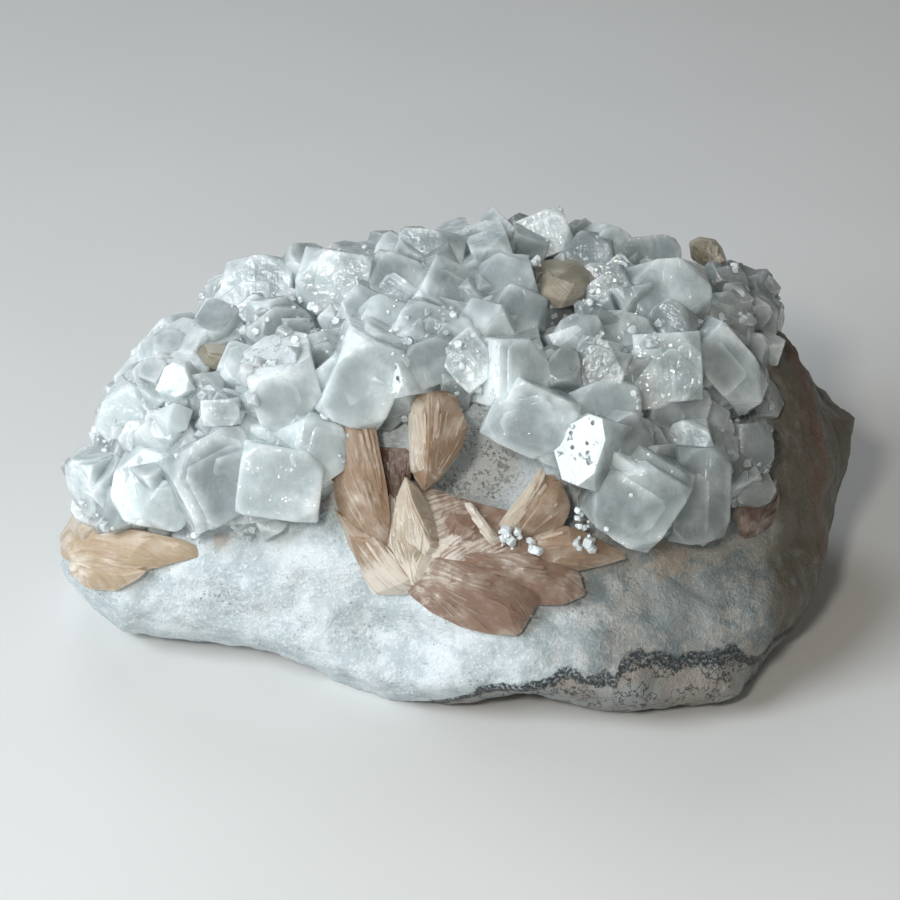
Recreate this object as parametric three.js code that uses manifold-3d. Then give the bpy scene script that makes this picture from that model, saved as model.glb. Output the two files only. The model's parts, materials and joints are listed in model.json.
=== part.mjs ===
/**
 * A hand piece of colourless apophyllite with peach stilbite, on its own white matrix.
 *
 * Frame: millimetres, +Z up, the flat broken base on Z = 0 under the middle of the piece,
 * +X to the viewer's right and +Y away from the viewer.
 *
 * The matrix is a rounded stone. The crystals are set out on a layout plane that leans back
 * like the piece does on show: each is given its place ACROSS and UP on that plane, and is
 * dropped along the line to the layout's eye point until it stands at its own distance from
 * the stone. Crystals that grew into each other are one solid.
 */
import * as THREE from "three";
import { ConvexGeometry } from "three/addons/geometries/ConvexGeometry.js";
import { mergeVertices } from "three/addons/utils/BufferGeometryUtils.js";
import Module from "manifold-3d";

const wasm = await Module();
wasm.setup();

// ---------------------------------------------------------------- driving dimensions, in mm

const GAP = 0.35; // clearance between pieces that grew on each other
const LAYOUT_TILT = THREE.MathUtils.degToRad(30); // how far the layout's eye stands above level
const LAYOUT_EYE = 420; // from the layout's aim point to its eye
const AIM = new THREE.Vector3(0, 0, 20.8);

// The stone: ellipsoids that blend into each other, less the hollows in it.
const STONE_LOBES = [
  { name: "core", at: [2, 1, 14], radii: [58, 36, 37] },
  { name: "front foot", at: [14, -20, 6], radii: [42, 24, 17] },
  { name: "right foot", at: [38, -22, 6], radii: [14, 16, 9] },
  { name: "left end", at: [-38, -5, 12], radii: [27, 23, 18] },
  { name: "left toe", at: [-47, -12, 6], radii: [17, 13, 10] },
  { name: "right shoulder", at: [35, 3, 29], radii: [18, 18, 18] },
  { name: "spur", at: [53.5, 9, 21], radii: [12.5, 9, 8] },
];
const STONE_HOLLOWS = [
  { name: "pocket under the large crystals", at: [3.5, -27, 35], radii: [10, 7, 7] },
  { name: "scoop in the front foot", at: [-14, -43, 14], radii: [14, 9, 8] },
];
const STONE_BLEND = 5; // how softly the lobes run together
const FRACTURE_BLEND = 1.5; // how softly they break along an edge
const STONE_HEART = new THREE.Vector3(0, -2, 17);
const STONE_REACH = 90; // a ray from here outside always starts clear of the stone
const STONE_FACETS = 8; // subdivisions of the icosahedron
const STONE_STRETCH = 1.35; // crowds the facets towards the two ends, which lie further out
const STONE_RELIEF = 1.9; // height of its lumps
const STONE_LUMP = 11; // spacing of its lumps

// Fracture planes that cut the back and the ends of the stone: outward normal and distance.
const FRACTURES = [
  { normal: [0.1, 0.97, 0.2], from: 33 },
  { normal: [-0.62, 0.75, 0.2], from: 38 },
  { normal: [0.72, 0.66, -0.1], from: 49 },
  { normal: [0.3, 0.7, 0.65], from: 45 },
  { normal: [0.42, 0.84, -0.34], from: 31 },
  { normal: [-0.3, 0.88, -0.36], from: 27 },
  { normal: [-0.15, 0.76, 0.63], from: 43 },
  { normal: [-0.86, 0.42, 0.28], from: 50 },
  { normal: [0.9, 0.05, -0.42], from: 46 },
];

// How far the stone reaches on the layout: ACROSS and UP, from the left end counterclockwise.
const STONE_OUTLINE = [
  [-58.4, -12], [-59.4, -15.5], [-57.2, -20.2], [-53.6, -23], [-50, -25.2], [-46, -26.3],
  [-38.9, -27.4], [-25.6, -30], [-18, -33], [-11, -35.3], [-7, -36.1], [6, -35.5],
  [21, -36.8], [34.7, -37], [38.6, -36.4], [41.4, -34.9], [44.7, -29.9], [48.2, -25.7],
  [51.2, -21.2], [54.4, -15.2], [56.4, -5.2], [60.4, 3.9], [60, 6.4], [55.4, 8.6],
  [53.2, 12.2], [50.8, 17], [49.2, 21.2], [48, 24.8], [44.8, 27], [41.6, 28.8], [38, 29.6],
  [34, 28.6], [27, 29], [13, 31], [2, 29.5], [-7, 28.5], [-20, 26.5], [-31, 25], [-36, 20.5],
  [-43, 15], [-48, 10], [-51.5, 4], [-54.5, -3], [-56, -8],
];
const OUTLINE_BLEND = 4; // how softly the stone turns away at its outline

// The lower edge of the apophyllite on the front of the stone, ACROSS and UP on the layout.
const CRUST_EDGE = [
  [-66, -8], [-55, -11], [-46, -12], [-37, -9.5], [-30, -9], [-24, -8.5], [-19.5, -4],
  [-18, 3], [-9, 4], [-7.5, 10], [-3, 11.5], [2, 8], [4, 5], [11, 0.5], [15, -4],
  [18, -7.5], [23, -11], [27, -14.5], [33, -12.5], [40, -11], [42, -3], [49, -1],
  [50, 8], [50, 30], [40, 60], [-66, 60],
];
const CRUST_BACK_HEIGHT = 27; // the crust stops at about this height behind the stone
const CRUST_STONE_RIGHT = 43; // and leaves the right end of the stone bare

/**
 * The large apophyllite crystals that show on the front, from the left end to the right.
 * Each is a block set out by the middle of the face it shows: across, up, width, height,
 * how it is turned in degrees (roll, to the right, upwards), and how far that face stands
 * off the stone.
 */
const CRYSTALS = [
  // left lobe, upper slope
  [-30.6, 26.6, 10.4, 8.4, 2, -12, 12, 6.5],
  [-36.6, 21.6, 7, 6.5, 20, -24, 20, 6],
  [-41.4, 18.6, 6.6, 6.2, -12, -25, 25, 6],
  [-45.4, 16.2, 6.4, 6, 30, -32, 22, 5.5],
  [-49, 12.8, 6.6, 6.4, 8, -36, 15, 5.5],
  [-44.6, 12.4, 7.4, 7, 25, -18, 10, 7],
  [-33.4, 15.4, 7.4, 6, -24, 12, 24, 6.5],
  [-26, 19.4, 8.4, 7.4, 40, 8, 16, 5],
  // left lobe, front
  [-25.6, 8.4, 9.4, 9.6, 18, 8, -30, 9],
  [-32.9, 6, 8, 7, -32, 15, 8, 7],
  [-39.6, 9, 8, 7, 10, -8, 12, 7.5],
  [-50.4, 6.6, 7.4, 9, -20, -28, 5, 6.5],
  [-53, 1.4, 6, 8, 12, -38, 8, 5],
  [-44.4, 2.4, 9.4, 8, 35, -12, -8, 8],
  [-48.2, -4, 8.6, 11, -14, -24, -6, 8],
  [-36.4, -3, 11, 11.5, 28, 18, 8, 9],
  [-27, -3.6, 11.5, 10, -8, 12, -14, 8],
  [-20.8, 2, 8, 9, 34, 22, -10, 6.5],
  [-57, -4.6, 5.4, 8, -10, -38, -6, 6],
  [-53.2, -7, 7, 7.4, 22, -34, -14, 5.5],
  [-43, -7.4, 9, 7, 14, 4, -20, 7.5],
  [-32.4, -7, 8, 5, 4, 8, -24, 6.5],
  // saddle between the lobes
  [-19.8, 26.2, 9.4, 9.4, -10, -18, 14, 7],
  [-11, 27, 9.4, 8, -24, -12, 16, 6.5],
  [-4.4, 31, 9.6, 7, -5, -8, 10, 6.5],
  [-19.6, 14.4, 7, 9.4, 12, -14, 4, 6.5],
  [-14.4, 11, 9.4, 12.5, -22, 12, -8, 9.5],
  [-10.6, 20.6, 9, 9, 18, -8, 20, 7],
  [-4.4, 18.6, 10.5, 9, -22, 10, 12, 7.5],
  [-10.4, 13.2, 4, 7.4, 10, -48, -6, 9.5],
  [-4.4, 12.4, 8, 8, 20, 10, -6, 9],
  [1.6, 14.6, 6, 6.4, 38, -26, -4, 9],
  [2.4, 21.4, 8, 7, 26, -18, 18, 7.5],
  [-0.8, 26, 8.4, 7, -30, 12, 20, 6.5],
  [6.6, 27.4, 8.4, 8, 16, -8, 22, 6.5],
  [3.8, 32, 7, 5, -12, 10, 16, 6],
  [12.2, 33.6, 9, 5.4, 22, 8, 18, 6.5],
  // right lobe, crest
  [18.6, 31, 8, 7.2, 10, -6, 12, 6],
  [23.8, 30.8, 7.4, 7, -28, 8, 14, 6],
  [29, 30.6, 8.6, 6, 6, 6, 22, 6.5],
  [22.5, 23.5, 8, 8, 34, -10, 4, 6],
  [31.6, 25.2, 12, 9.8, 4, 14, -4, 9],
  [24.9, 18.6, 8, 7, -18, 8, 12, 7],
  [17.9, 19, 7, 6.5, 32, -14, 10, 7],
  [9.2, 23, 8.6, 7, 16, 6, 16, 7],
  // right lobe, front
  [9.6, 13, 7.6, 9.4, 2, 22, -6, 10.5],
  [10.4, 5.4, 11.4, 8.8, -25, 4, -12, 9.5],
  [15.6, 14.4, 4.6, 5, 8, 18, 10, 10],
  [20.6, 13.6, 7.4, 6.4, -14, -8, 10, 9],
  [22.4, 8.2, 9.6, 7.4, 12, 6, 20, 9.5],
  [17.8, 1.8, 7.4, 9.8, -18, -34, 6, 11],
  [25.2, 2.6, 8.6, 8.6, -16, 24, 10, 10.5],
  [26.4, -6.8, 11.2, 11.6, -32, 6, -8, 11],
  [36.8, -5.4, 7.6, 13.4, 2, 16, -4, 7.5],
  [33.8, 2.2, 7.4, 7, 20, -10, 10, 7],
  [33.4, 7.6, 8, 7, -16, 10, 8, 6],
  [31.3, 13.8, 9.4, 9.6, 3, 12, 6, 9],
  [37.6, 6.4, 6.6, 6.4, 12, 20, 4, 5.5],
  [43.6, 1.2, 7.4, 6.4, 4, 22, 0, 5],
  [41, 21, 8.4, 9, -8, 24, 12, 4.5],
  [40, 26, 7, 6, 14, 14, 16, 3.5],
  [44, 12, 6, 8.4, 8, 32, 6, 3],
  // the long one, leaning out over its neighbours
  [41.2, 13.4, 7, 12.6, 45, 14, -8, 8],
];

const CORNER_CUT = 0.42; // share of a half side that the pyramid takes off a corner
const PLAIN_BELOW = 9.6; // crystals narrower than this keep sharp corners
const ROOT = 3; // how far a crystal is rooted below the surface of the stone
const FILLER_SPACING = 11.5; // between the small crystals that close the crust
const FILLER_STRETCH = 1.2; // sets more of them towards the two ends
const FILLER_SIZES = [8, 10.6]; // their widths, from and to
const FILLER_RISE = 2.4; // how much their heights differ
const FILLER_LEAN = 38; // degrees that one may lean from the stone's normal
const FILLER_CLEAR = 0.62; // share of a large crystal's width that a small one keeps away from it
const BASE_CLEAR = 1; // no crystal comes nearer than this to the base

/**
 * Outlines of stilbite blades: share of the length, then share of the half width.
 */
const OUTLINES = {
  petal: [[0, 0.45], [0.3, 0.78], [0.65, 1], [0.9, 0.92], [1, 0.62]],
  wedge: [[0, 0.9], [0.25, 1], [0.6, 0.62], [0.9, 0.26], [1, 0.1]],
  plate: [[0, 0.3], [0.25, 0.86], [0.6, 1], [0.9, 0.84], [1, 0.68]],
  fan: [[0, 0.26], [0.3, 0.6], [0.65, 0.92], [0.92, 1], [1, 0.84]],
  leaf: [[0, 0.4], [0.25, 0.8], [0.5, 1], [0.8, 0.66], [1, 0.2]],
};
const BLADE_SIDES = 6;
const BLADE_STEPS = 3;
const BLADE_END = 0.45; // thickness left at the two ends of a blade

/**
 * Stilbite pieces. A blade runs from one place to the other, each across, up and off the
 * stone, with its width, its thickness, and how far it is turned about its own length.
 */
const SHEAVES = {
  stilbite_sheaf: [
    { from: [-9.8, -15.6, 1], to: [-16, 3.2, 5], wide: 8.6, thick: 4.4, turn: -14, form: "petal" },
    { from: [-10, -11, 0.5], to: [-9.8, 3, 2.5], wide: 6, thick: 3.4, turn: 26, form: "petal" },
    { from: [-6.8, -17.8, 1.5], to: [-8.8, -2.8, 4], wide: 7.6, thick: 5, turn: 8, form: "wedge" },
    { from: [-8.6, -19.6, 1], to: [-18, -7.4, 1], wide: 6, thick: 3.4, turn: -10, form: "leaf" },
    { from: [-9.4, -19, 1], to: [9.8, -23.2, 2], wide: 6.8, thick: 4.4, turn: 10, form: "plate" },
    { from: [-6.4, -15.6, 1], to: [18, -19, 2], wide: 7, thick: 4.8, turn: -6, form: "plate" },
    { from: [-5.6, -14.8, 2.5], to: [8, -13.6, 3], wide: 6, thick: 4.4, turn: 14, form: "leaf" },
    { from: [5.2, -12.8, 1.5], to: [14.2, -2.8, 5], wide: 8.6, thick: 3, turn: 24, form: "fan" },
    { from: [8.6, -14.2, 1.5], to: [17.6, -7.2, 4], wide: 7, thick: 3.6, turn: -6, form: "petal" },
    { from: [6.4, -15.4, 1.5], to: [26, -14, 2], wide: 6.6, thick: 4.4, turn: 4, form: "leaf" },
    { from: [-2.4, -13.4, 1], to: [2.8, -7.6, 1.5], wide: 6, thick: 3.6, turn: 0, form: "petal" },
  ],
  stilbite_upright: [
    { from: [-4.4, -3.9, 1.5], to: [-3.6, 12, 5], wide: 9, thick: 7, turn: 18, form: "petal" },
  ],
  stilbite_left: [
    { from: [-38.5, -13.8, 1], to: [-59.6, -13.6, 1], wide: 9, thick: 6, turn: 0, form: "fan" },
    { from: [-46.5, -17, 0.5], to: [-56.4, -17, 1], wide: 6, thick: 5, turn: 0, form: "petal" },
    { from: [-55, -12.6, 1], to: [-57, -5.6, 2.5], wide: 5.5, thick: 4, turn: 0, form: "petal" },
  ],
  stilbite_right: [
    { from: [41.4, -12, 0.5], to: [46.8, -2.2, 1.5], wide: 7.6, thick: 5, turn: -12, form: "petal" },
  ],
  stilbite_crest: [
    { from: [38.8, 27.6, 0.5], to: [36.4, 33, 3.5], wide: 6.4, thick: 5.6, turn: 0, form: "petal" },
  ],
  stilbite_summit: [
    { from: [18, 22, 3], to: [14, 29, 5], wide: 11, thick: 7, turn: 10, form: "petal" },
  ],
  stilbite_bud: [
    { from: [-40.5, 14.4, 4.5], to: [-35, 16.2, 5.5], wide: 5.4, thick: 5, turn: 0, form: "petal" },
  ],
};

// ------------------------------------------------------------------------------- materials

const FINISH = {
  matrix: new THREE.MeshStandardMaterial({ color: 0xd3d8da, roughness: 0.9, metalness: 0 }),
  apophyllite: new THREE.MeshStandardMaterial({ color: 0xc8d4d8, roughness: 0.12, metalness: 0 }),
  stilbite: new THREE.MeshStandardMaterial({ color: 0xc39b80, roughness: 0.4, metalness: 0 }),
};

// ------------------------------------------------------------------------------ small tools

/** A repeatable stream of numbers from 0 to 1. */
function numberStream(seed) {
  let state = seed >>> 0;
  return () => {
    state = (Math.imul(state, 1664525) + 1013904223) >>> 0;
    return state / 4294967296;
  };
}

/** A value from 0 to 1 for each corner of the unit lattice. */
function latticeValue(x, y, z) {
  let n = Math.imul(x, 374761393) ^ Math.imul(y, 668265263) ^ Math.imul(z, 1442695041);
  n = Math.imul(n ^ (n >>> 13), 1274126177);
  return ((n ^ (n >>> 16)) >>> 0) / 4294967296;
}

/** Smooth noise from -1 to 1, blended between lattice corners. */
function smoothNoise(point) {
  const [x, y, z] = [point.x, point.y, point.z].map(Math.floor);
  const ease = (t) => t * t * (3 - 2 * t);
  const [u, v, w] = [ease(point.x - x), ease(point.y - y), ease(point.z - z)];
  const mix = THREE.MathUtils.lerp;
  const edge = (dy, dz) => mix(latticeValue(x, y + dy, z + dz), latticeValue(x + 1, y + dy, z + dz), u);
  return 2 * mix(mix(edge(0, 0), edge(1, 0), v), mix(edge(0, 1), edge(1, 1), v), w) - 1;
}

/** The value of a profile of [share, value] points at t. */
function profileAt(points, t) {
  const next = points.findIndex(([share]) => share >= t);
  if (next <= 0) return points[0][1];
  const [[t0, v0], [t1, v1]] = [points[next - 1], points[next]];
  return THREE.MathUtils.lerp(v0, v1, (t - t0) / (t1 - t0));
}

/** A closed geometry as a solid for joining and cutting. */
function solidOf(geometry) {
  const bare = geometry.clone();
  bare.deleteAttribute("normal");
  bare.deleteAttribute("uv");
  const merged = mergeVertices(bare, 1e-4);
  return new wasm.Manifold(
    new wasm.Mesh({
      numProp: 3,
      vertProperties: new Float32Array(merged.attributes.position.array),
      triVerts: new Uint32Array(merged.index.array),
    }),
  );
}

/** A solid as a named mesh with its finish. */
function meshOf(name, solid, material) {
  const { vertProperties, triVerts, numProp } = solid.getMesh();
  const position = new Float32Array((vertProperties.length / numProp) * 3);
  for (let i = 0; i < position.length / 3; i++)
    position.set(vertProperties.subarray(i * numProp, i * numProp + 3), i * 3);
  const geometry = new THREE.BufferGeometry()
    .setAttribute("position", new THREE.BufferAttribute(position, 3))
    .setIndex(new THREE.BufferAttribute(new Uint32Array(triVerts), 1));
  geometry.computeVertexNormals();
  const mesh = new THREE.Mesh(geometry, material);
  mesh.name = name;
  return mesh;
}

/** The largest of a solid's separate bodies, so that no loose chip is left by a cut. */
function largestBody(solid) {
  return solid.decompose().reduce((best, body) => (body.volume() > best.volume() ? body : best));
}

// -------------------------------------------------------------------------------- the layout

const RIGHT = new THREE.Vector3(1, 0, 0);
const UP = new THREE.Vector3(0, Math.sin(LAYOUT_TILT), Math.cos(LAYOUT_TILT));
const TOWARDS = new THREE.Vector3(0, -Math.cos(LAYOUT_TILT), Math.sin(LAYOUT_TILT));
const EYE = AIM.clone().addScaledVector(TOWARDS, LAYOUT_EYE);

/** Where a point shows on the layout: [across, up]. */
function showsAt(point) {
  const ray = point.clone().sub(EYE);
  const scale = LAYOUT_EYE / -ray.dot(TOWARDS);
  return [ray.dot(RIGHT) * scale, ray.dot(UP) * scale];
}

/** True if a place of the layout lies inside an outline. */
function inside([x, y], outline) {
  return outline.reduce((within, [x1, y1], i) => {
    const [x0, y0] = outline[(i + outline.length - 1) % outline.length];
    const crosses = y1 > y !== y0 > y && x < ((x0 - x1) * (y - y1)) / (y0 - y1) + x1;
    return crosses ? !within : within;
  }, false);
}

/** Distance from an outline on the layout, negative inside it. */
function edgeDistance([x, y], outline) {
  const distances = outline.map(([x1, y1], i) => {
    const [x0, y0] = outline[(i + outline.length - 1) % outline.length];
    const [dx, dy] = [x1 - x0, y1 - y0];
    const share = ((x - x0) * dx + (y - y0) * dy) / (dx * dx + dy * dy);
    const t = THREE.MathUtils.clamp(share, 0, 1);
    return Math.hypot(x - x0 - t * dx, y - y0 - t * dy);
  });
  return Math.min(...distances) * (inside([x, y], outline) ? -1 : 1);
}

// -------------------------------------------------------------------------------- the stone

/** Distance from an ellipsoid lobe, negative inside. */
function lobeDistance(point, { at, radii }) {
  const [x, y, z] = [point.x - at[0], point.y - at[1], point.z - at[2]];
  const scaled = Math.hypot(x / radii[0], y / radii[1], z / radii[2]);
  const slope = Math.hypot(x / radii[0] ** 2, y / radii[1] ** 2, z / radii[2] ** 2);
  return slope > 1e-9 ? (scaled * (scaled - 1)) / slope : -Math.min(...radii);
}

/** The smaller of two distances, rounded where they meet. */
function blend(a, b, softness) {
  const overlap = Math.max(softness - Math.abs(a - b), 0) / softness;
  return Math.min(a, b) - (overlap * overlap * softness) / 4;
}

/** Distance from the smooth form of the stone, negative inside. */
function stoneDistance(point) {
  const lobes = STONE_LOBES.map((lobe) => lobeDistance(point, lobe));
  const hollows = STONE_HOLLOWS.map((hollow) => -lobeDistance(point, hollow));
  const cuts = FRACTURES.map(({ normal, from }) => {
    const length = Math.hypot(...normal);
    return (point.x * normal[0] + point.y * normal[1] + point.z * normal[2]) / length - from;
  });
  const body = lobes.reduce((a, b) => blend(a, b, STONE_BLEND));
  const cut = [...hollows, ...cuts].reduce((a, b) => -blend(-a, -b, FRACTURE_BLEND), body);
  return -blend(-cut, -edgeDistance(showsAt(point), STONE_OUTLINE), OUTLINE_BLEND);
}

/** The outward direction of the stone's surface at a point. */
function stoneNormal(point) {
  const step = 0.5;
  const along = (axis) => {
    const ahead = point.clone().setComponent(axis, point.getComponent(axis) + step);
    const behind = point.clone().setComponent(axis, point.getComponent(axis) - step);
    return stoneDistance(ahead) - stoneDistance(behind);
  };
  return new THREE.Vector3(along(0), along(1), along(2)).normalize();
}

/** The first point of a ray that comes within `off` of the stone, or its nearest approach. */
function dropTo(start, direction, off) {
  const point = start.clone();
  let nearest = { distance: Infinity, point: start.clone() };
  for (let step = 0; step < 90; step++) {
    const distance = stoneDistance(point) - off;
    if (distance < nearest.distance) nearest = { distance, point: point.clone() };
    if (distance < 0.02) break;
    point.addScaledVector(direction, Math.max(distance * 0.8, 0.05));
  }
  return nearest.point;
}

/** The point at a place of the layout that stands `off` from the stone. */
function setOut(across, up, off) {
  const place = AIM.clone().addScaledVector(RIGHT, across).addScaledVector(UP, up);
  const sight = place.sub(EYE).normalize();
  const start = EYE.clone().addScaledVector(sight, LAYOUT_EYE - STONE_REACH);
  return dropTo(start, sight, off);
}

/** The stone: an icosahedron drawn out to its form, with lumps, cut flat at the base. */
function stoneSolid(grow) {
  const ball = new THREE.IcosahedronGeometry(1, STONE_FACETS);
  const position = ball.attributes.position;
  for (let i = 0; i < position.count; i++) {
    const direction = new THREE.Vector3().fromBufferAttribute(position, i);
    direction.setX(direction.x * STONE_STRETCH).normalize();
    const start = STONE_HEART.clone().addScaledVector(direction, STONE_REACH);
    const surface = dropTo(start, direction.clone().negate(), 0);
    const lumps = smoothNoise(surface.clone().divideScalar(STONE_LUMP));
    const grains = smoothNoise(surface.clone().divideScalar(STONE_LUMP / 2.3).addScalar(7));
    const height = STONE_RELIEF * (0.65 * lumps + 0.35 * grains) + grow;
    surface.addScaledVector(direction, height);
    position.setXYZ(i, surface.x, surface.y, surface.z);
  }
  const room = new THREE.BoxGeometry(200, 200, 100).translate(0, 0, 50);
  return solidOf(ball).intersect(solidOf(room));
}

// ------------------------------------------------------------------------------ apophyllite

/** A square block, with a pyramid face cut across each outer corner of a large one. */
function crystalGeometry(width, height, depth) {
  const half = [width / 2, height / 2, depth / 2];
  const take = Math.max(width, height) < PLAIN_BELOW ? 0 : CORNER_CUT * Math.min(...half);
  const points = [];
  for (const sx of [-1, 1])
    for (const sy of [-1, 1]) {
      const [x, y, z] = [sx * half[0], sy * half[1], half[2]];
      points.push(new THREE.Vector3(x, y, -z));
      points.push(new THREE.Vector3(x - sx * take, y, z));
      points.push(new THREE.Vector3(x, y - sy * take, z));
      points.push(new THREE.Vector3(x, y, z - take));
    }
  return new ConvexGeometry(points);
}

/** A block turned to show its face on the layout. */
function shownCrystal([across, up, width, height, roll, right, upwards, off]) {
  const [rollTurn, rightTurn, upTurn] = [roll, right, upwards].map(THREE.MathUtils.degToRad);
  const turn = new THREE.Matrix4()
    .makeBasis(RIGHT, UP, TOWARDS)
    .multiply(new THREE.Matrix4().makeRotationY(rightTurn))
    .multiply(new THREE.Matrix4().makeRotationX(-upTurn))
    .multiply(new THREE.Matrix4().makeRotationZ(rollTurn));
  const face = setOut(across, up, off);
  const depth = off + ROOT;
  const matrix = new THREE.Matrix4()
    .setPosition(face)
    .multiply(turn)
    .multiply(new THREE.Matrix4().makeTranslation(0, 0, -depth / 2));
  return {
    at: new THREE.Vector3().setFromMatrixPosition(matrix),
    width: Math.max(width, height),
    geometry: crystalGeometry(width, height, depth).applyMatrix4(matrix),
  };
}

/** True if the apophyllite covers the stone at a point of its surface. */
function isCrusted(point, normal) {
  if (point.x > CRUST_STONE_RIGHT) return false;
  const seen = normal.dot(EYE.clone().sub(point).normalize()) > 0.12;
  return seen
    ? edgeDistance(showsAt(point), CRUST_EDGE) < -FILLER_SIZES[0] / 2.5
    : point.z > CRUST_BACK_HEIGHT;
}

/** The small crystals between and behind the large ones, spread evenly over the stone. */
function fillerCrystals(large) {
  const next = numberStream(20611);
  const area = 4 * Math.PI * 38 ** 2; // of a ball about the size of the piece
  const count = Math.round((area / FILLER_SPACING ** 2) * 1.55);
  const goldenTurn = Math.PI * (3 - Math.sqrt(5));
  const made = [];
  for (let i = 0; i < count; i++) {
    const z = 1 - (2 * (i + 0.5)) / count;
    const ring = Math.sqrt(1 - z * z);
    const direction = new THREE.Vector3(
      Math.cos(i * goldenTurn) * ring * FILLER_STRETCH,
      Math.sin(i * goldenTurn) * ring,
      z,
    ).normalize();
    const [size, squat, lean, leanTurn, roll, off] = Array.from({ length: 6 }, next);
    const start = STONE_HEART.clone().addScaledVector(direction, STONE_REACH);
    const surface = dropTo(start, direction.clone().negate(), 0);
    const normal = stoneNormal(surface);
    if (!isCrusted(surface, normal)) continue;
    const width = THREE.MathUtils.lerp(...FILLER_SIZES, size);
    const at = surface.clone().addScaledVector(normal, FILLER_RISE * (off - 0.7));
    if (large.some((one) => one.at.distanceTo(at) < one.width * FILLER_CLEAR)) continue;
    const leanAxis = new THREE.Vector3(Math.cos(leanTurn * 6.283), Math.sin(leanTurn * 6.283), 0);
    const turn = new THREE.Quaternion()
      .setFromUnitVectors(new THREE.Vector3(0, 0, 1), normal)
      .multiply(
        new THREE.Quaternion().setFromAxisAngle(
          leanAxis,
          THREE.MathUtils.degToRad(FILLER_LEAN) * lean,
        ),
      )
      .multiply(new THREE.Quaternion().setFromAxisAngle(new THREE.Vector3(0, 0, 1), roll * 1.571));
    made.push(
      crystalGeometry(width, width * (0.8 + 0.3 * squat), width)
        .applyQuaternion(turn)
        .translate(at.x, at.y, at.z),
    );
  }
  return made;
}

/** All the apophyllite, joined where the crystals grew into each other. */
function crustSolid(cutters) {
  const large = CRYSTALS.map(shownCrystal);
  const blocks = [...large.map((one) => one.geometry), ...fillerCrystals(large)];
  const floor = new THREE.BoxGeometry(300, 300, 60).translate(0, 0, BASE_CLEAR - 30);
  const joined = wasm.Manifold.union(blocks.map(solidOf));
  return largestBody([solidOf(floor), ...cutters].reduce((crust, cutter) => crust.subtract(cutter), joined));
}

// --------------------------------------------------------------------------------- stilbite

/** A blade of stilbite: a flattened, tapering body between two places. */
function bladeGeometry({ from, to, wide, thick, turn, form }, grow) {
  const foot = setOut(...from);
  const tip = setOut(...to);
  const length = foot.distanceTo(tip);
  const blade = new THREE.CylinderGeometry(1, 1, 1, BLADE_SIDES, BLADE_STEPS);
  const position = blade.attributes.position;
  for (let i = 0; i < position.count; i++) {
    const share = position.getY(i) + 0.5;
    const ends = Math.min(share, 1 - share) * BLADE_STEPS;
    const fullness = THREE.MathUtils.lerp(BLADE_END, 1, Math.min(ends, 1));
    const half = (wide / 2) * profileAt(OUTLINES[form], share);
    position.setXYZ(
      i,
      position.getX(i) * (half + grow),
      position.getY(i) * (length + 2 * grow),
      position.getZ(i) * ((thick / 2) * fullness + grow),
    );
  }
  const along = tip.clone().sub(foot).normalize();
  const flat = TOWARDS.clone().addScaledVector(along, -TOWARDS.dot(along)).normalize();
  const across = new THREE.Vector3().crossVectors(along, flat);
  const centre = foot.clone().add(tip).multiplyScalar(0.5);
  const matrix = new THREE.Matrix4()
    .setPosition(centre)
    .multiply(new THREE.Matrix4().makeBasis(across, along, flat))
    .multiply(new THREE.Matrix4().makeRotationY(THREE.MathUtils.degToRad(turn)));
  return blade.applyMatrix4(matrix);
}

/** A group of blades that grew together. */
function sheafSolid(blades, grow) {
  return wasm.Manifold.union(blades.map((blade) => solidOf(bladeGeometry(blade, grow))));
}

// ------------------------------------------------------------------------------ the piece

const stone = stoneSolid(0);
const stoneCutter = stoneSolid(GAP);
const floorCutter = solidOf(new THREE.BoxGeometry(300, 300, 60).translate(0, 0, BASE_CLEAR - 30));

const piece = new THREE.Group();
piece.name = "apophyllite_cluster";
piece.add(meshOf("matrix_stone", stone, FINISH.matrix));

const sheafCutters = [];
for (const [name, blades] of Object.entries(SHEAVES)) {
  const others = sheafCutters.reduce((joined, cutter) => joined.add(cutter), stoneCutter);
  const body = sheafSolid(blades, 0).subtract(others).subtract(floorCutter);
  piece.add(meshOf(name, largestBody(body), FINISH.stilbite));
  sheafCutters.push(sheafSolid(blades, GAP));
}
piece.add(meshOf("apophyllite_crust", crustSolid([stoneCutter, ...sheafCutters]), FINISH.apophyllite));

export default piece;
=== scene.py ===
"""The looks of a hand piece of colourless apophyllite and peach stilbite on its matrix stone.

The lobes of the stone, the crystals and the blades are set out as the solids are: in millimetres,
on a layout plane that leans back, each dropped along the line to the layout's eye point until it
stands at its own distance from the stone. Every mesh is written in metres.
"""

import json
import logging
import math
from collections.abc import Iterator
from dataclasses import dataclass
from enum import Enum

import bmesh
import bpy
import numpy as np
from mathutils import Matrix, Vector
from mathutils.bvhtree import BVHTree

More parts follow.
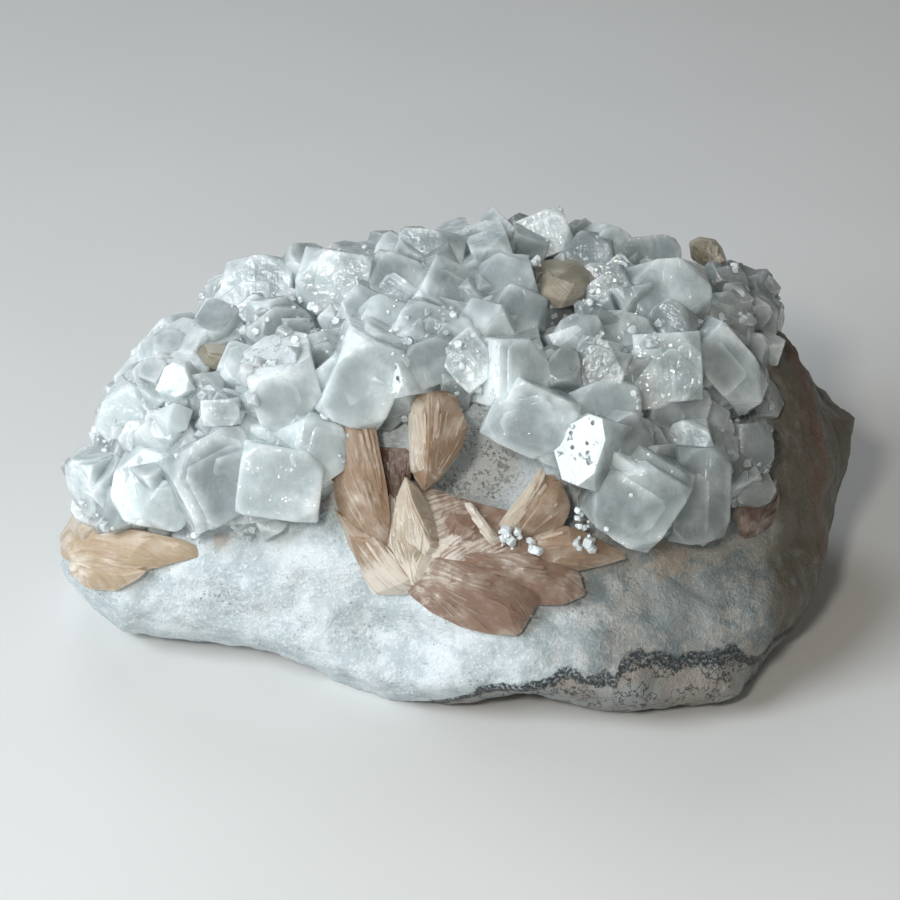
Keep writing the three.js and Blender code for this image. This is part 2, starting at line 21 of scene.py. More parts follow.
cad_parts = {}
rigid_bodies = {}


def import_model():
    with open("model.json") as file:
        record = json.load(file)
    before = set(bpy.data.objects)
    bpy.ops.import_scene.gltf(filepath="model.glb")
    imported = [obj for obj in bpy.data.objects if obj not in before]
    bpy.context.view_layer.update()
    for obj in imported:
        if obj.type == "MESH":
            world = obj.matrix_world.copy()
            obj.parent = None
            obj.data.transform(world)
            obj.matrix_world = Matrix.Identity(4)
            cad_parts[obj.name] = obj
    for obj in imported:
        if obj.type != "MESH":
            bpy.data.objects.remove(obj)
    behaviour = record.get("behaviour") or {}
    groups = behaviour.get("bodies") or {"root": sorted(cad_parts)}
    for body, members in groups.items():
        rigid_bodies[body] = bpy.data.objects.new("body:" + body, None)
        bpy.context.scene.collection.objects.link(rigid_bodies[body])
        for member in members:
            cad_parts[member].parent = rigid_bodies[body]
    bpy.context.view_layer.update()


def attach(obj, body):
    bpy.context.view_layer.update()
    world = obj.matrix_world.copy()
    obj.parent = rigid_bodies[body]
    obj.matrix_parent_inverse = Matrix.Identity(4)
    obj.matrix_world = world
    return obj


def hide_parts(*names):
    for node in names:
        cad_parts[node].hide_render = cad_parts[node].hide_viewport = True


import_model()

MM = 0.001
FULL_TURN, QUARTER_TURN = 6.283, 1.571  # radians
UV_STEP = 7.3  # millimetres between the grain of one form and that of the next
BASE_SKIN = 0.02  # points lower than this, in millimetres, belong to the flat base
Array = np.ndarray
log = logging.getLogger("apophyllite_cluster")


# ---- small tools


def unit(vectors: Array) -> Array:
    """Vectors drawn to length 1."""
    return vectors / np.maximum(np.linalg.norm(vectors, axis=-1, keepdims=True), 1e-12)


def turn(axis: int, degrees: float) -> Array:
    """The 3 by 3 turn about one axis.

    Args:
        axis: 0, 1 or 2 for X, Y or Z.
        degrees: how far, counterclockwise seen from its tip.

    Returns:
        The matrix.
    """
    c, s = math.cos(math.radians(degrees)), math.sin(math.radians(degrees))
    i, j = (axis + 1) % 3, (axis + 2) % 3
    matrix = np.eye(3)
    matrix[i, i], matrix[i, j], matrix[j, i], matrix[j, j] = c, -s, s, c
    return matrix


def turn_from_up(normal: Array) -> Array:
    """The 3 by 3 turn that carries +Z to a direction by the shortest way."""
    quaternion = Vector((0, 0, 1)).rotation_difference(Vector(normal))
    return np.array(quaternion.to_matrix())


def between(low: float, high: float, share: float) -> float:
    """The value at a share of the way from low to high."""
    return low + (high - low) * share


def eased(values: Array, low: float, high: float) -> Array:
    """Values eased from 0 at low to 1 at high."""
    t = np.clip((values - low) / (high - low), 0, 1)
    return t * t * (3 - 2 * t)


def number_stream(seed: int) -> Iterator[float]:
    """Repeatable numbers from 0 to 1.

    Args:
        seed: where they start.

    Returns:
        The numbers, one after another.
    """
    state = seed
    while True:
        state = (state * 1664525 + 1013904223) % 4294967296
        yield state / 4294967296


class LatticeNoise:
    """Noise on the unit lattice that is the same in every run."""

    @staticmethod
    def corner(cells: Array, salt: int = 0) -> Array:
        """A value from 0 to 1 for each lattice corner.

        Args:
            cells: the corners, in whole numbers.
            salt: tells kinds of values apart.

        Returns:
            The values.
        """
        x, y, z = (cells[..., i].astype(np.int64).astype(np.uint32) for i in range(3))
        n = (x * np.uint32(374761393)) ^ (y * np.uint32(668265263)) ^ (z * np.uint32(1442695041))
        n = (n ^ (n >> np.uint32(13)) ^ np.uint32(salt * 2654435)) * np.uint32(1274126177)
        return (n ^ (n >> np.uint32(16))) / 4294967296

    @classmethod
    def smooth(cls, points: Array) -> Array:
        """Smooth noise, blended between lattice corners.

        Args:
            points: places in lattice steps.

        Returns:
            Values from -1 to 1.
        """
        cell = np.floor(points)
        part = points - cell
        u, v, w = np.moveaxis(part * part * (3 - 2 * part), -1, 0)
        total = np.zeros(len(points))
        for dz, share_z in ((0, 1 - w), (1, w)):
            for dy, share_y in ((0, 1 - v), (1, v)):
                for dx, share_x in ((0, 1 - u), (1, u)):
                    total += share_x * share_y * share_z * cls.corner(cell + (dx, dy, dz))
        return 2 * total - 1

    @classmethod
    def layered(cls, points: Array, layers: int) -> Array:
        """Smooth noise with finer and weaker noise on top.

        Args:
            points: places in lattice steps.
            layers: how many noises.

        Returns:
            Values from about -1 to 1.
        """
        shares = [0.5**i for i in range(layers)]
        total = sum(s * cls.smooth(points * 2.03**i + 5.1 * i) for i, s in enumerate(shares))
        return total / sum(shares)

    @classmethod
    def grains(cls, points: Array) -> tuple[Array, Array]:
        """How far each point is from the middle of its grain, and that grain's own number.

        Args:
            points: places in grain sizes.

        Returns:
            The distance in grain sizes, and a value from 0 to 1 for the grain.
        """
        cell = np.floor(points)
        nearest = np.full(len(points), np.inf)
        number = np.zeros(len(points))
        for step in np.ndindex(3, 3, 3):
            around = cell + (np.array(step) - 1)
            seed = np.stack([cls.corner(around, salt) for salt in (1, 2, 3)], axis=-1)
            distance = np.linalg.norm(around + 0.15 + 0.7 * seed - points, axis=-1)
            closer = distance < nearest
            nearest[closer] = distance[closer]
            number[closer] = cls.corner(around, 4)[closer]
        return nearest, number


# ---- the layout


@dataclass(frozen=True)
class Layout:
    """The leaning plane that the crystals are set out on, in millimetres.

    Attributes:
        tilt: how far its eye point stands above level, in degrees.
        eye_distance: from the aim point to the eye point.
        aim: the point of the piece where across and up are both 0.
    """

    tilt: float = 30.0
    eye_distance: float = 420.0
    aim: tuple[float, float, float] = (0.0, 0.0, 20.8)

    @property
    def basis(self) -> Array:
        """The directions right, up and towards the eye, as columns."""
        s, c = math.sin(math.radians(self.tilt)), math.cos(math.radians(self.tilt))
        return np.array([[1, 0, 0], [0, s, -c], [0, c, s]], float)

    @property
    def eye(self) -> Array:
        """The eye point."""
        return np.array(self.aim) + self.eye_distance * self.basis[:, 2]

    def shows_at(self, points: Array) -> Array:
        """Where points show on the layout: across and up."""
        seen = (points - self.eye) @ self.basis
        return seen[:, :2] * (self.eye_distance / -seen[:, 2:3])

    def sight(self, places: Array) -> Array:
        """Directions from the eye to places of the layout, each across and up."""
        return unit(np.array(self.aim) + places @ self.basis[:, :2].T - self.eye)


def edge_distance(places: Array, outline: Array) -> Array:
    """Distance of layout places from an outline, negative inside it.

    Args:
        places: the places, each across and up.
        outline: the corners of the outline, in order.

    Returns:
        One distance for each place.
    """
    nearest = np.full(len(places), np.inf)
    within = np.zeros(len(places), bool)
    x, y = places[:, 0], places[:, 1]
    for (x0, y0), (x1, y1) in zip(np.roll(outline, 1, axis=0), outline):
        dx, dy = x1 - x0, y1 - y0
        t = np.clip(((x - x0) * dx + (y - y0) * dy) / (dx * dx + dy * dy), 0, 1)
        nearest = np.minimum(nearest, np.hypot(x - x0 - t * dx, y - y0 - t * dy))
        if y0 != y1:
            within ^= ((y1 > y) != (y0 > y)) & (x < (x0 - x1) * (y - y1) / (y0 - y1) + x1)
    return np.where(within, -nearest, nearest)


# ---- the stone


@dataclass(frozen=True)
class Lobe:
    """An ellipsoid of the stone, or of a hollow in it, in millimetres."""

    at: tuple[float, float, float]
    radii: tuple[float, float, float]

    def distance(self, points: Array) -> Array:
        """How far points are from the ellipsoid.

        Args:
            points: the points.

        Returns:
            Distances, negative inside.
        """
        local, radii = points - self.at, np.array(self.radii)
        scaled = np.linalg.norm(local / radii, axis=1)
        slope = np.linalg.norm(local / radii**2, axis=1)
        return np.where(slope > 1e-9, scaled * (scaled - 1) / np.maximum(slope, 1e-9), -radii.min())


def blended(a: Array, b: Array, softness: float) -> Array:
    """The smaller of two distances, rounded where they meet."""
    overlap = np.maximum(softness - np.abs(a - b), 0) / softness
    return np.minimum(a, b) - overlap * overlap * softness / 4


@dataclass(frozen=True)
class StoneForm:
    """The form of the matrix stone, as a distance from its surface, in millimetres.

    Attributes:
        lobes: the ellipsoids that its body is blended from; hollows are taken out of it.
        lobe_blend: how softly the lobes meet; fractures and the outline have their own.
        heart: the point that its surface is seen from.
        reach: how far from the heart rays start; they go in strides till they are near enough.
        stretch: how much longer than deep it is.
        relief: the height of its lumps, which are one lump wide.
        fractures: its flat breaks, each an outward direction and its distance.
        outline: what it shows on the layout.
    """

    layout: Layout = Layout()
    lobes: tuple[Lobe, ...] = (
        Lobe((2, 1, 14), (58, 36, 37)),
        Lobe((14, -20, 6), (42, 24, 17)),
        Lobe((38, -22, 6), (14, 16, 9)),
        Lobe((-38, -5, 12), (27, 23, 18)),
        Lobe((-47, -12, 6), (17, 13, 10)),
        Lobe((35, 3, 29), (18, 18, 18)),
        Lobe((53.5, 9, 21), (12.5, 9, 8)),
    )
    hollows: tuple[Lobe, ...] = (Lobe((3.5, -27, 35), (10, 7, 7)), Lobe((-14, -43, 14), (14, 9, 8)))
    lobe_blend: float = 5.0
    fracture_blend: float = 1.5
    outline_blend: float = 4.0
    heart: tuple[float, float, float] = (0.0, -2.0, 17.0)
    reach: float = 90.0
    most_strides: int = 90
    near_enough: float = 0.02
    stride: float = 0.8
    stretch: float = 1.35
    relief: float = 1.9
    lump: float = 11.0
    fractures: tuple[tuple[float, float, float, float], ...] = (
        (0.1, 0.97, 0.2, 33), (-0.62, 0.75, 0.2, 38), (0.72, 0.66, -0.1, 49),
        (0.3, 0.7, 0.65, 45), (0.42, 0.84, -0.34, 31), (-0.3, 0.88, -0.36, 27),
        (-0.15, 0.76, 0.63, 43), (-0.86, 0.42, 0.28, 50), (0.9, 0.05, -0.42, 46),
    )
    outline: tuple[tuple[float, float], ...] = (
        (-58.4, -12), (-59.4, -15.5), (-57.2, -20.2), (-53.6, -23), (-50, -25.2), (-46, -26.3),
        (-38.9, -27.4), (-25.6, -30), (-18, -33), (-11, -35.3), (-7, -36.1), (6, -35.5),
        (21, -36.8), (34.7, -37), (38.6, -36.4), (41.4, -34.9), (44.7, -29.9), (48.2, -25.7),
        (51.2, -21.2), (54.4, -15.2), (56.4, -5.2), (60.4, 3.9), (60, 6.4), (55.4, 8.6),
        (53.2, 12.2), (50.8, 17), (49.2, 21.2), (48, 24.8), (44.8, 27), (41.6, 28.8), (38, 29.6),
        (34, 28.6), (27, 29), (13, 31), (2, 29.5), (-7, 28.5), (-20, 26.5), (-31, 25),
        (-36, 20.5), (-43, 15), (-48, 10), (-51.5, 4), (-54.5, -3), (-56, -8),
    )

    def distance(self, points: Array) -> Array:
        """How far points are from the smooth stone.

        Args:
            points: the points.

        Returns:
            Distances, negative inside.
        """
        body = self.lobes[0].distance(points)
        for lobe in self.lobes[1:]:
            body = blended(body, lobe.distance(points), self.lobe_blend)
        for hollow in self.hollows:
            body = -blended(-body, hollow.distance(points), self.fracture_blend)
        for *normal, off in self.fractures:
            cut = points @ unit(np.array(normal)) - off
            body = -blended(-body, -cut, self.fracture_blend)
        shown = edge_distance(self.layout.shows_at(points), np.array(self.outline))
        return -blended(-body, -shown, self.outline_blend)

    def normal(self, points: Array) -> Array:
        """Where the smooth surface faces.

        Args:
            points: points of the surface.

        Returns:
            Outward directions of length 1.
        """
        steps = 0.5 * np.eye(3)
        slopes = [self.distance(points + step) - self.distance(points - step) for step in steps]
        return unit(np.stack(slopes, 1))

    def drop(self, starts: Array, directions: Array, off: Array | float) -> Array:
        """Follows rays until they come near the stone.

        Args:
            starts: where the rays start, outside the stone.
            directions: their directions, of length 1.
            off: how far from the stone each stops.

        Returns:
            The first point of each ray within off of the stone, or its nearest approach.
        """
        points, best = starts.copy(), starts.copy()
        off = np.broadcast_to(off, len(points))
        nearest = np.full(len(points), np.inf)
        live = np.arange(len(points))
        for _ in range(self.most_strides):
            distance = self.distance(points[live]) - off[live]
            closer = live[distance < nearest[live]]
            nearest[closer], best[closer] = distance[distance < nearest[live]], points[closer]
            going = distance >= self.near_enough
            live, distance = live[going], distance[going]
            if not len(live):
                break
            points[live] += directions[live] * np.maximum(distance * self.stride, 0.05)[:, None]
        return best

    def set_out(self, places: Array, off: Array | float) -> Array:
        """Points that stand off the stone at places of the layout.

        Args:
            places: the places, each across and up.
            off: how far they stand off.

        Returns:
            The points.
        """
        sight = self.layout.sight(places)
        starts = self.layout.eye + sight * (self.layout.eye_distance - self.reach)
        return self.drop(starts, sight, off)

    def place(self, across: float, up: float, off: float = 0.0) -> Array:
        """The point at one place of the layout that stands off the stone by a distance."""
        return self.set_out(np.array([[across, up]], float), off)[0]

    def from_heart(self, directions: Array) -> Array:
        """Where rays from the heart of the stone leave its smooth surface."""
        return self.drop(np.array(self.heart) + directions * self.reach, -directions, 0)

    def surface(self, directions: Array) -> Array:
        """The lumpy surface, cut flat at the base.

        Args:
            directions: directions of a ball about the heart.

        Returns:
            One point for each.
        """
        directions = unit(directions * (self.stretch, 1, 1))
        points = self.from_heart(directions)
        lumps = LatticeNoise.smooth(points / self.lump)
        knobs = LatticeNoise.smooth(points / (self.lump / 2.3) + 7)
        points = points + directions * (self.relief * (0.65 * lumps + 0.35 * knobs))[:, None]
        below = points[:, 2] < 0
        share = self.heart[2] / (self.heart[2] - points[below, 2])
        points[below] = self.heart + (points[below] - self.heart) * share[:, None]
        return points


# ---- shader graphs


class Wire:
    """An output socket that takes part in Python expressions, each of which adds a Math node."""

    def __init__(self, graph: "Graph", socket: bpy.types.NodeSocket) -> None:
        """Wraps a socket of a graph."""
        self.graph, self.socket = graph, socket

    def _math(self, operation: str, *values: "Wire | float") -> "Wire":
        """A Math node on values."""
        return self.graph.node("ShaderNodeMath", {"operation": operation}, dict(enumerate(values)))

    def __add__(self, other: "Wire | float") -> "Wire":
        """The sum."""
        return self._math("ADD", self, other)

    def __mul__(self, other: "Wire | float") -> "Wire":
        """The product."""
        return self._math("MULTIPLY", self, other)

    def __sub__(self, other: "Wire | float") -> "Wire":
        """The difference."""
        return self._math("SUBTRACT", self, other)

    def __rsub__(self, other: "Wire | float") -> "Wire":
        """The difference, from a number."""
        return self._math("SUBTRACT", other, self)

    def __truediv__(self, other: "Wire | float") -> "Wire":
        """The quotient."""
        return self._math("DIVIDE", self, other)

    def __rtruediv__(self, other: "Wire | float") -> "Wire":
        """The quotient, of a number."""
        return self._math("DIVIDE", other, self)

    def __abs__(self) -> "Wire":
        """The value without its sign."""
        return self._math("ABSOLUTE", self)

    __radd__, __rmul__ = __add__, __mul__

    def most(self, other: "Wire | float") -> "Wire":
        """The larger of two values."""
        return self._math("MAXIMUM", self, other)

    def eased(self, low: float, high: float, start: float = 0.0, end: float = 1.0) -> "Wire":
        """The value eased from start, at low, to end, at high."""
        values = {"Value": self, "From Min": low, "From Max": high, "To Min": start, "To Max": end}
        return self.graph.node("ShaderNodeMapRange", {"interpolation_type": "SMOOTHSTEP"}, values)


class Graph:
    """The node graph of one material.

    Attributes:
        place: the place on the piece, in millimetres.
    """

    def __init__(self, name: str) -> None:
        """Starts a material with an empty graph.

        Args:
            name: its name.
        """
        self.material = bpy.data.materials.new(name)
        self.material.use_nodes = True
        self.tree = self.material.node_tree
        self.tree.nodes.clear()
        metres = self.node("ShaderNodeTexCoord", {}, {}, "Object")
        self.place = self._vector("SCALE", {0: metres, "Scale": 1 / MM})

    def node(self, kind: str, settings: dict, sockets: dict, take: int | str = 0) -> Wire:
        """Adds a node.

        Args:
            kind: the type of the node.
            settings: its properties, set first.
            sockets: values or wires for its inputs, by name or number.
            take: the output that is wanted.

        Returns:
            That output.
        """
        node = self.tree.nodes.new(kind)
        for name, value in settings.items():
            setattr(node, name, value)
        for name, value in sockets.items():
            if isinstance(value, Wire):
                self.tree.links.new(value.socket, node.inputs[name])
            else:
                node.inputs[name].default_value = value
        return Wire(self, node.outputs[take])

    def _vector(self, operation: str, sockets: dict, take: int | str = 0) -> Wire:
        """A Vector Math node."""
        return self.node("ShaderNodeVectorMath", {"operation": operation}, sockets, take)

    def growth(self) -> Wire:
        """The place on a crystal's own face, in millimetres across and along its growth."""
        return self.node("ShaderNodeUVMap", {"uv_map": "Growth"}, {})

    def rim(self) -> Wire:
        """How near a place on a crystal's face is to the face's rim, from 0 to 1."""
        share = self.node("ShaderNodeUVMap", {"uv_map": "Rim"}, {})
        across, along = (abs(self.along(share, axis)) for axis in ((1, 0, 0), (0, 1, 0)))
        return across.most(along)

    def stretched(self, place: Wire, by: tuple[float, float, float]) -> Wire:
        """A place with each of its parts scaled."""
        return self._vector("MULTIPLY", {0: place, 1: by})

    def along(self, place: Wire, direction: tuple[float, float, float]) -> Wire:
        """How far a place lies along a direction."""
        return self._vector("DOT_PRODUCT", {0: place, 1: direction}, "Value")

    def away(self, point: Array) -> Wire:
        """How far the place on the piece is from a point."""
        return self._vector("DISTANCE", {0: self.place, 1: tuple(point)}, "Value")

    def value(self, name: str) -> Wire:
        """A number that the mesh carries."""
        return self.node("ShaderNodeAttribute", {"attribute_name": name}, {}, "Fac")

    def colour(self, name: str) -> Wire:
        """A colour that the mesh carries."""
        return self.node("ShaderNodeAttribute", {"attribute_name": name}, {}, "Color")

    def noise(
        self, place: Wire, size: float, detail: float = 4.0, rough: float = 0.55, flat: bool = False
    ) -> Wire:
        """Smooth noise with features of about this size.

        Args:
            place: where it is taken.
            size: the size of its features.
            detail: how many finer layers it has.
            rough: how strong they are.
            flat: whether it varies in two directions only.

        Returns:
            A value around 0.5.
        """
        settings = {"noise_dimensions": "2D" if flat else "3D"}
        sockets = {"Vector": place, "Scale": 1 / size, "Detail": detail, "Roughness": rough}
        return self.node("ShaderNodeTexNoise", settings, sockets)

    def cells(self, place: Wire, size: float) -> Wire:
        """The distance to the middle of the nearest of many cells, in two directions."""
        sockets = {"Vector": place, "Scale": 1 / size}
        return self.node("ShaderNodeTexVoronoi", {"voronoi_dimensions": "2D"}, sockets)

    def mixed(self, share: Wire, a: "Wire | Tint", b: "Wire | Tint") -> Wire:
        """Colour a turned towards colour b by a share."""
        a, b = (c.linear if isinstance(c, Tint) else c for c in (a, b))
        return self.node("ShaderNodeMix", {"data_type": "RGBA"}, {0: share, 6: a, 7: b}, 2)

    def bump(self, height: Wire, depth: float, strength: float = 1.0) -> Wire:
        """A normal for a height from 0 to 1 that stands for a depth in millimetres."""
        sockets = {"Height": height, "Distance": depth * MM, "Strength": strength}
        return self.node("ShaderNodeBump", {}, sockets)

    def finish(self, shader: Wire, volume: Wire | None = None) -> bpy.types.Material:
        """Joins the graph to the output.

        Args:
            shader: the surface.
            volume: what fills the form, if anything.

        Returns:
            The material.
        """
        sockets = {"Surface": shader} | ({"Volume": volume} if volume else {})
        output = self.tree.nodes.new("ShaderNodeOutputMaterial")
        for name, wire in sockets.items():
            self.tree.links.new(wire.socket, output.inputs[name])
        return self.material


@dataclass(frozen=True)
class Tint:
    """A colour as it shows on a screen, each part from 0 to 255."""

    red: float
    green: float
    blue: float

    @property
    def linear(self) -> tuple[float, float, float, float]:
        """The colour in linear light, opaque."""
        parts = np.array([self.red, self.green, self.blue]) / 255
        bent = np.where(parts <= 0.04045, parts / 12.92, ((parts + 0.055) / 1.055) ** 2.4)
        return (*bent.tolist(), 1.0)


# ---- finishes


@dataclass(frozen=True)
class MatrixFinish:
    """White granular chalcedony with dark specks, stains, a dark seam and a weathered end.

    Attributes:
        white: the fresh chalcedony, with its shade and the white of its grains.
        dull: one colour that it turns to on the right, partly its own grey and partly painted shade
            where the light falls off; the other is glassy.
        hollow: painted shade in its hollows and between the pocket's grains; also the grey of the
            rock under the seam and of the streaks at the end.
        foot: the pale basalt under the seam.
        end_grey: the weathered right end, which has brown streaks.
        cloud_size: width of the broad clouds of colour; lumps and grains are finer.
        greyer_right_from: where that greying to the right begins and where it is full, along X.
        end_from: where the weathered end begins and where it is full, along X.
        streak_at: the middle of the brown streak, along X, and its half width.
        seam_width: half the width of the seam.
        ragged: how far the seam strays.
        clear_patches: glassy patches, each across, up and radius.
        stains: warm stains, given alike.
        sugary: the pocket of coarse white grains, with painted shade between them, given alike.
    """

    white: Tint = Tint(211, 219, 222)
    shade: Tint = Tint(184, 195, 199)
    grain: Tint = Tint(230, 236, 238)
    dull: Tint = Tint(136, 132, 124)
    glassy: Tint = Tint(104, 112, 111)
    hollow: Tint = Tint(150, 153, 152)
    clear_patch: Tint = Tint(138, 144, 143)
    speck: Tint = Tint(52, 44, 38)
    stain: Tint = Tint(160, 142, 122)
    seam: Tint = Tint(36, 46, 50)
    foot: Tint = Tint(140, 134, 126)
    end_grey: Tint = Tint(92, 84, 68)
    end_brown: Tint = Tint(102, 66, 46)
    cloud_size: float = 7.0
    lump_size: float = 2.4
    grain_size: float = 0.5
    dust_size: float = 0.26
    speck_spacing: float = 4.5
    crack_spacing: float = 3.4
    grain_depth: float = 0.3
    greyer_right_from: tuple[float, float] = (6.0, 24.0)
    end_from: tuple[float, float] = (45.5, 49.0)
    streak_at: tuple[float, float] = (53.5, 2.5)
    seam_width: float = 1.2
    ragged: float = 3.2
    clear_patches: tuple[tuple[float, float, float], ...] = ((34, -23, 5.5), (30, -20, 3.5))
    stains: tuple[tuple[float, float, float], ...] = (
        (-20.5, -5.5, 3), (31, -15, 4), (-36, -12.5, 2.4),
    )
    sugary: tuple[float, float, float] = (1, -1, 9)

    def material(self, form: StoneForm) -> bpy.types.Material:
        """The stone's material.

        Args:
            form: the form of the stone, which the patches and stains lie on.

        Returns:
            The material.
        """
        g = Graph("matrix")
        place = g.place
        cloud, lumps = g.noise(place, self.cloud_size, 3, 0.6), g.noise(place, self.lump_size, 3)
        fine = g.noise(place, self.grain_size, 3, 0.7)
        colour = self._chalcedony(g, cloud, lumps, fine)
        spots = [(spot, 0.5, self.clear_patch) for spot in self.clear_patches]
        spots += [(spot, 0.3, self.stain) for spot in self.stains]
        edge = lumps * 6 - 3
        for (across, up, radius), core, tint in spots:
            away = g.away(form.place(across, up)) + edge
            colour = g.mixed(away.eased(radius, radius * core, 0, 0.6), colour, tint)
        across, up, radius = self.sugary
        sugar = (g.away(form.place(across, up)) + edge).eased(radius, radius * 0.6)
        # The pocket: white grains with painted shade (the hollow colour) between them.
        grainy = g.mixed((fine * 0.6 + lumps * 0.4).eased(0.42, 0.5), self.hollow, self.grain)
        colour = g.mixed(sugar * 0.8, colour, grainy)
        colour = self._foot(g, cloud, fine, self._end(g, colour))
        clusters = g.noise(place, self.speck_spacing, 2, 0.6).eased(0.46, 0.66).most(sugar * 0.7)
        specks = fine.eased(0.385, 0.325) * clusters
        dust = g.noise(place, self.dust_size, 1, 0.6).eased(0.64, 0.74) * clusters
        sockets = {
            "Base Color": g.mixed(specks.most(dust * 0.6) * 0.8, colour, self.speck),
            "Roughness": cloud.eased(0.3, 0.7, 0.36, 0.66),
            "Normal": g.bump(fine, self.grain_depth),
        }
        return g.finish(g.node("ShaderNodeBsdfPrincipled", {}, sockets))

    def _chalcedony(self, g: Graph, cloud: Wire, lumps: Wire, fine: Wire) -> Wire:
        """The colour of the bare stone: white at the left, greyer at the right partly for its
        glassy grey chalcedony and partly as painted shade where the light falls off, and with
        painted shade in its hollows.

        Args:
            g: the graph.
            cloud: broad noise.
            lumps: finer noise.
            fine: grains.

        Returns:
            The colour.
        """
        colour = g.mixed((cloud * 0.6 + lumps * 0.4).eased(0.42, 0.58), self.white, self.shade)
        # Greyer towards the right: partly the glassy grey chalcedony there, partly painted shade
        # where the light falls off.
        greyer_right = g.mixed((cloud * 0.5 + lumps * 0.5).eased(0.44, 0.56), self.dull, self.glassy)
        rightwards = g.along(g.place, (1, 0, 0)) + cloud * 14 - 7
        colour = g.mixed(rightwards.eased(*self.greyer_right_from, 0, 0.9), colour, greyer_right)
        # Painted shade: darker in the hollows of the relief.
        colour = g.mixed(g.value("relief").eased(-0.05, -0.5, 0, 0.4), colour, self.hollow)
        grains = fine.eased(0.53, 0.62, 0, 0.6) * rightwards.eased(20, 4, 0.25, 1)
        return g.mixed(grains, colour, self.grain)

    def _end(self, g: Graph, colour: Wire) -> Wire:
        """Turns the colour of the weathered right end, which has upright streaks.

        Args:
            g: the graph.
            colour: the colour so far.

        Returns:
            The new colour.
        """
        streaks = g.noise(g.stretched(g.place, (1, 1, 0.16)), 3, 3, 0.6)
        bare = (g.along(g.place, (1, 0, 0)) + streaks * 6).eased(*self.end_from)
        grey = g.mixed(streaks.eased(0.5, 0.75, 0, 0.55), self.end_grey, self.hollow)
        middle, half = self.streak_at
        streak = 1 - (abs(g.along(g.place, (1, 0.1, 0.1)) - middle) / half).eased(0.3, 1)
        grey = g.mixed(streak * streaks.eased(0.35, 0.55) * 0.8, grey, self.end_brown)
        return g.mixed(bare * 0.85, colour, grey)

    def _foot(self, g: Graph, cloud: Wire, fine: Wire, colour: Wire) -> Wire:
        """Turns the colour of the foot, with its cracks and the dark seam above it.

        Args:
            g: the graph.
            cloud: broad noise.
            fine: grains.
            colour: the colour so far.

        Returns:
            The new colour.
        """
        stray = g.noise(g.place, 2.2, 4, 0.65) * self.ragged - self.ragged / 2
        above = g.value("above_seam") + stray
        cracks = 1 - abs(g.noise(g.place, self.crack_spacing, 3, 0.7) - 0.5).eased(0.004, 0.03)
        rock = g.mixed(cloud.eased(0.4, 0.6), self.foot, self.hollow)
        rock = g.mixed(cracks * 0.85, rock, self.seam)
        colour = g.mixed(above.eased(0.3, -0.3), colour, rock)
        band = (1 - (abs(above) / self.seam_width).eased(0.6, 1.1)) * fine.eased(0.3, 0.56)
        return g.mixed(band, colour, self.seam)


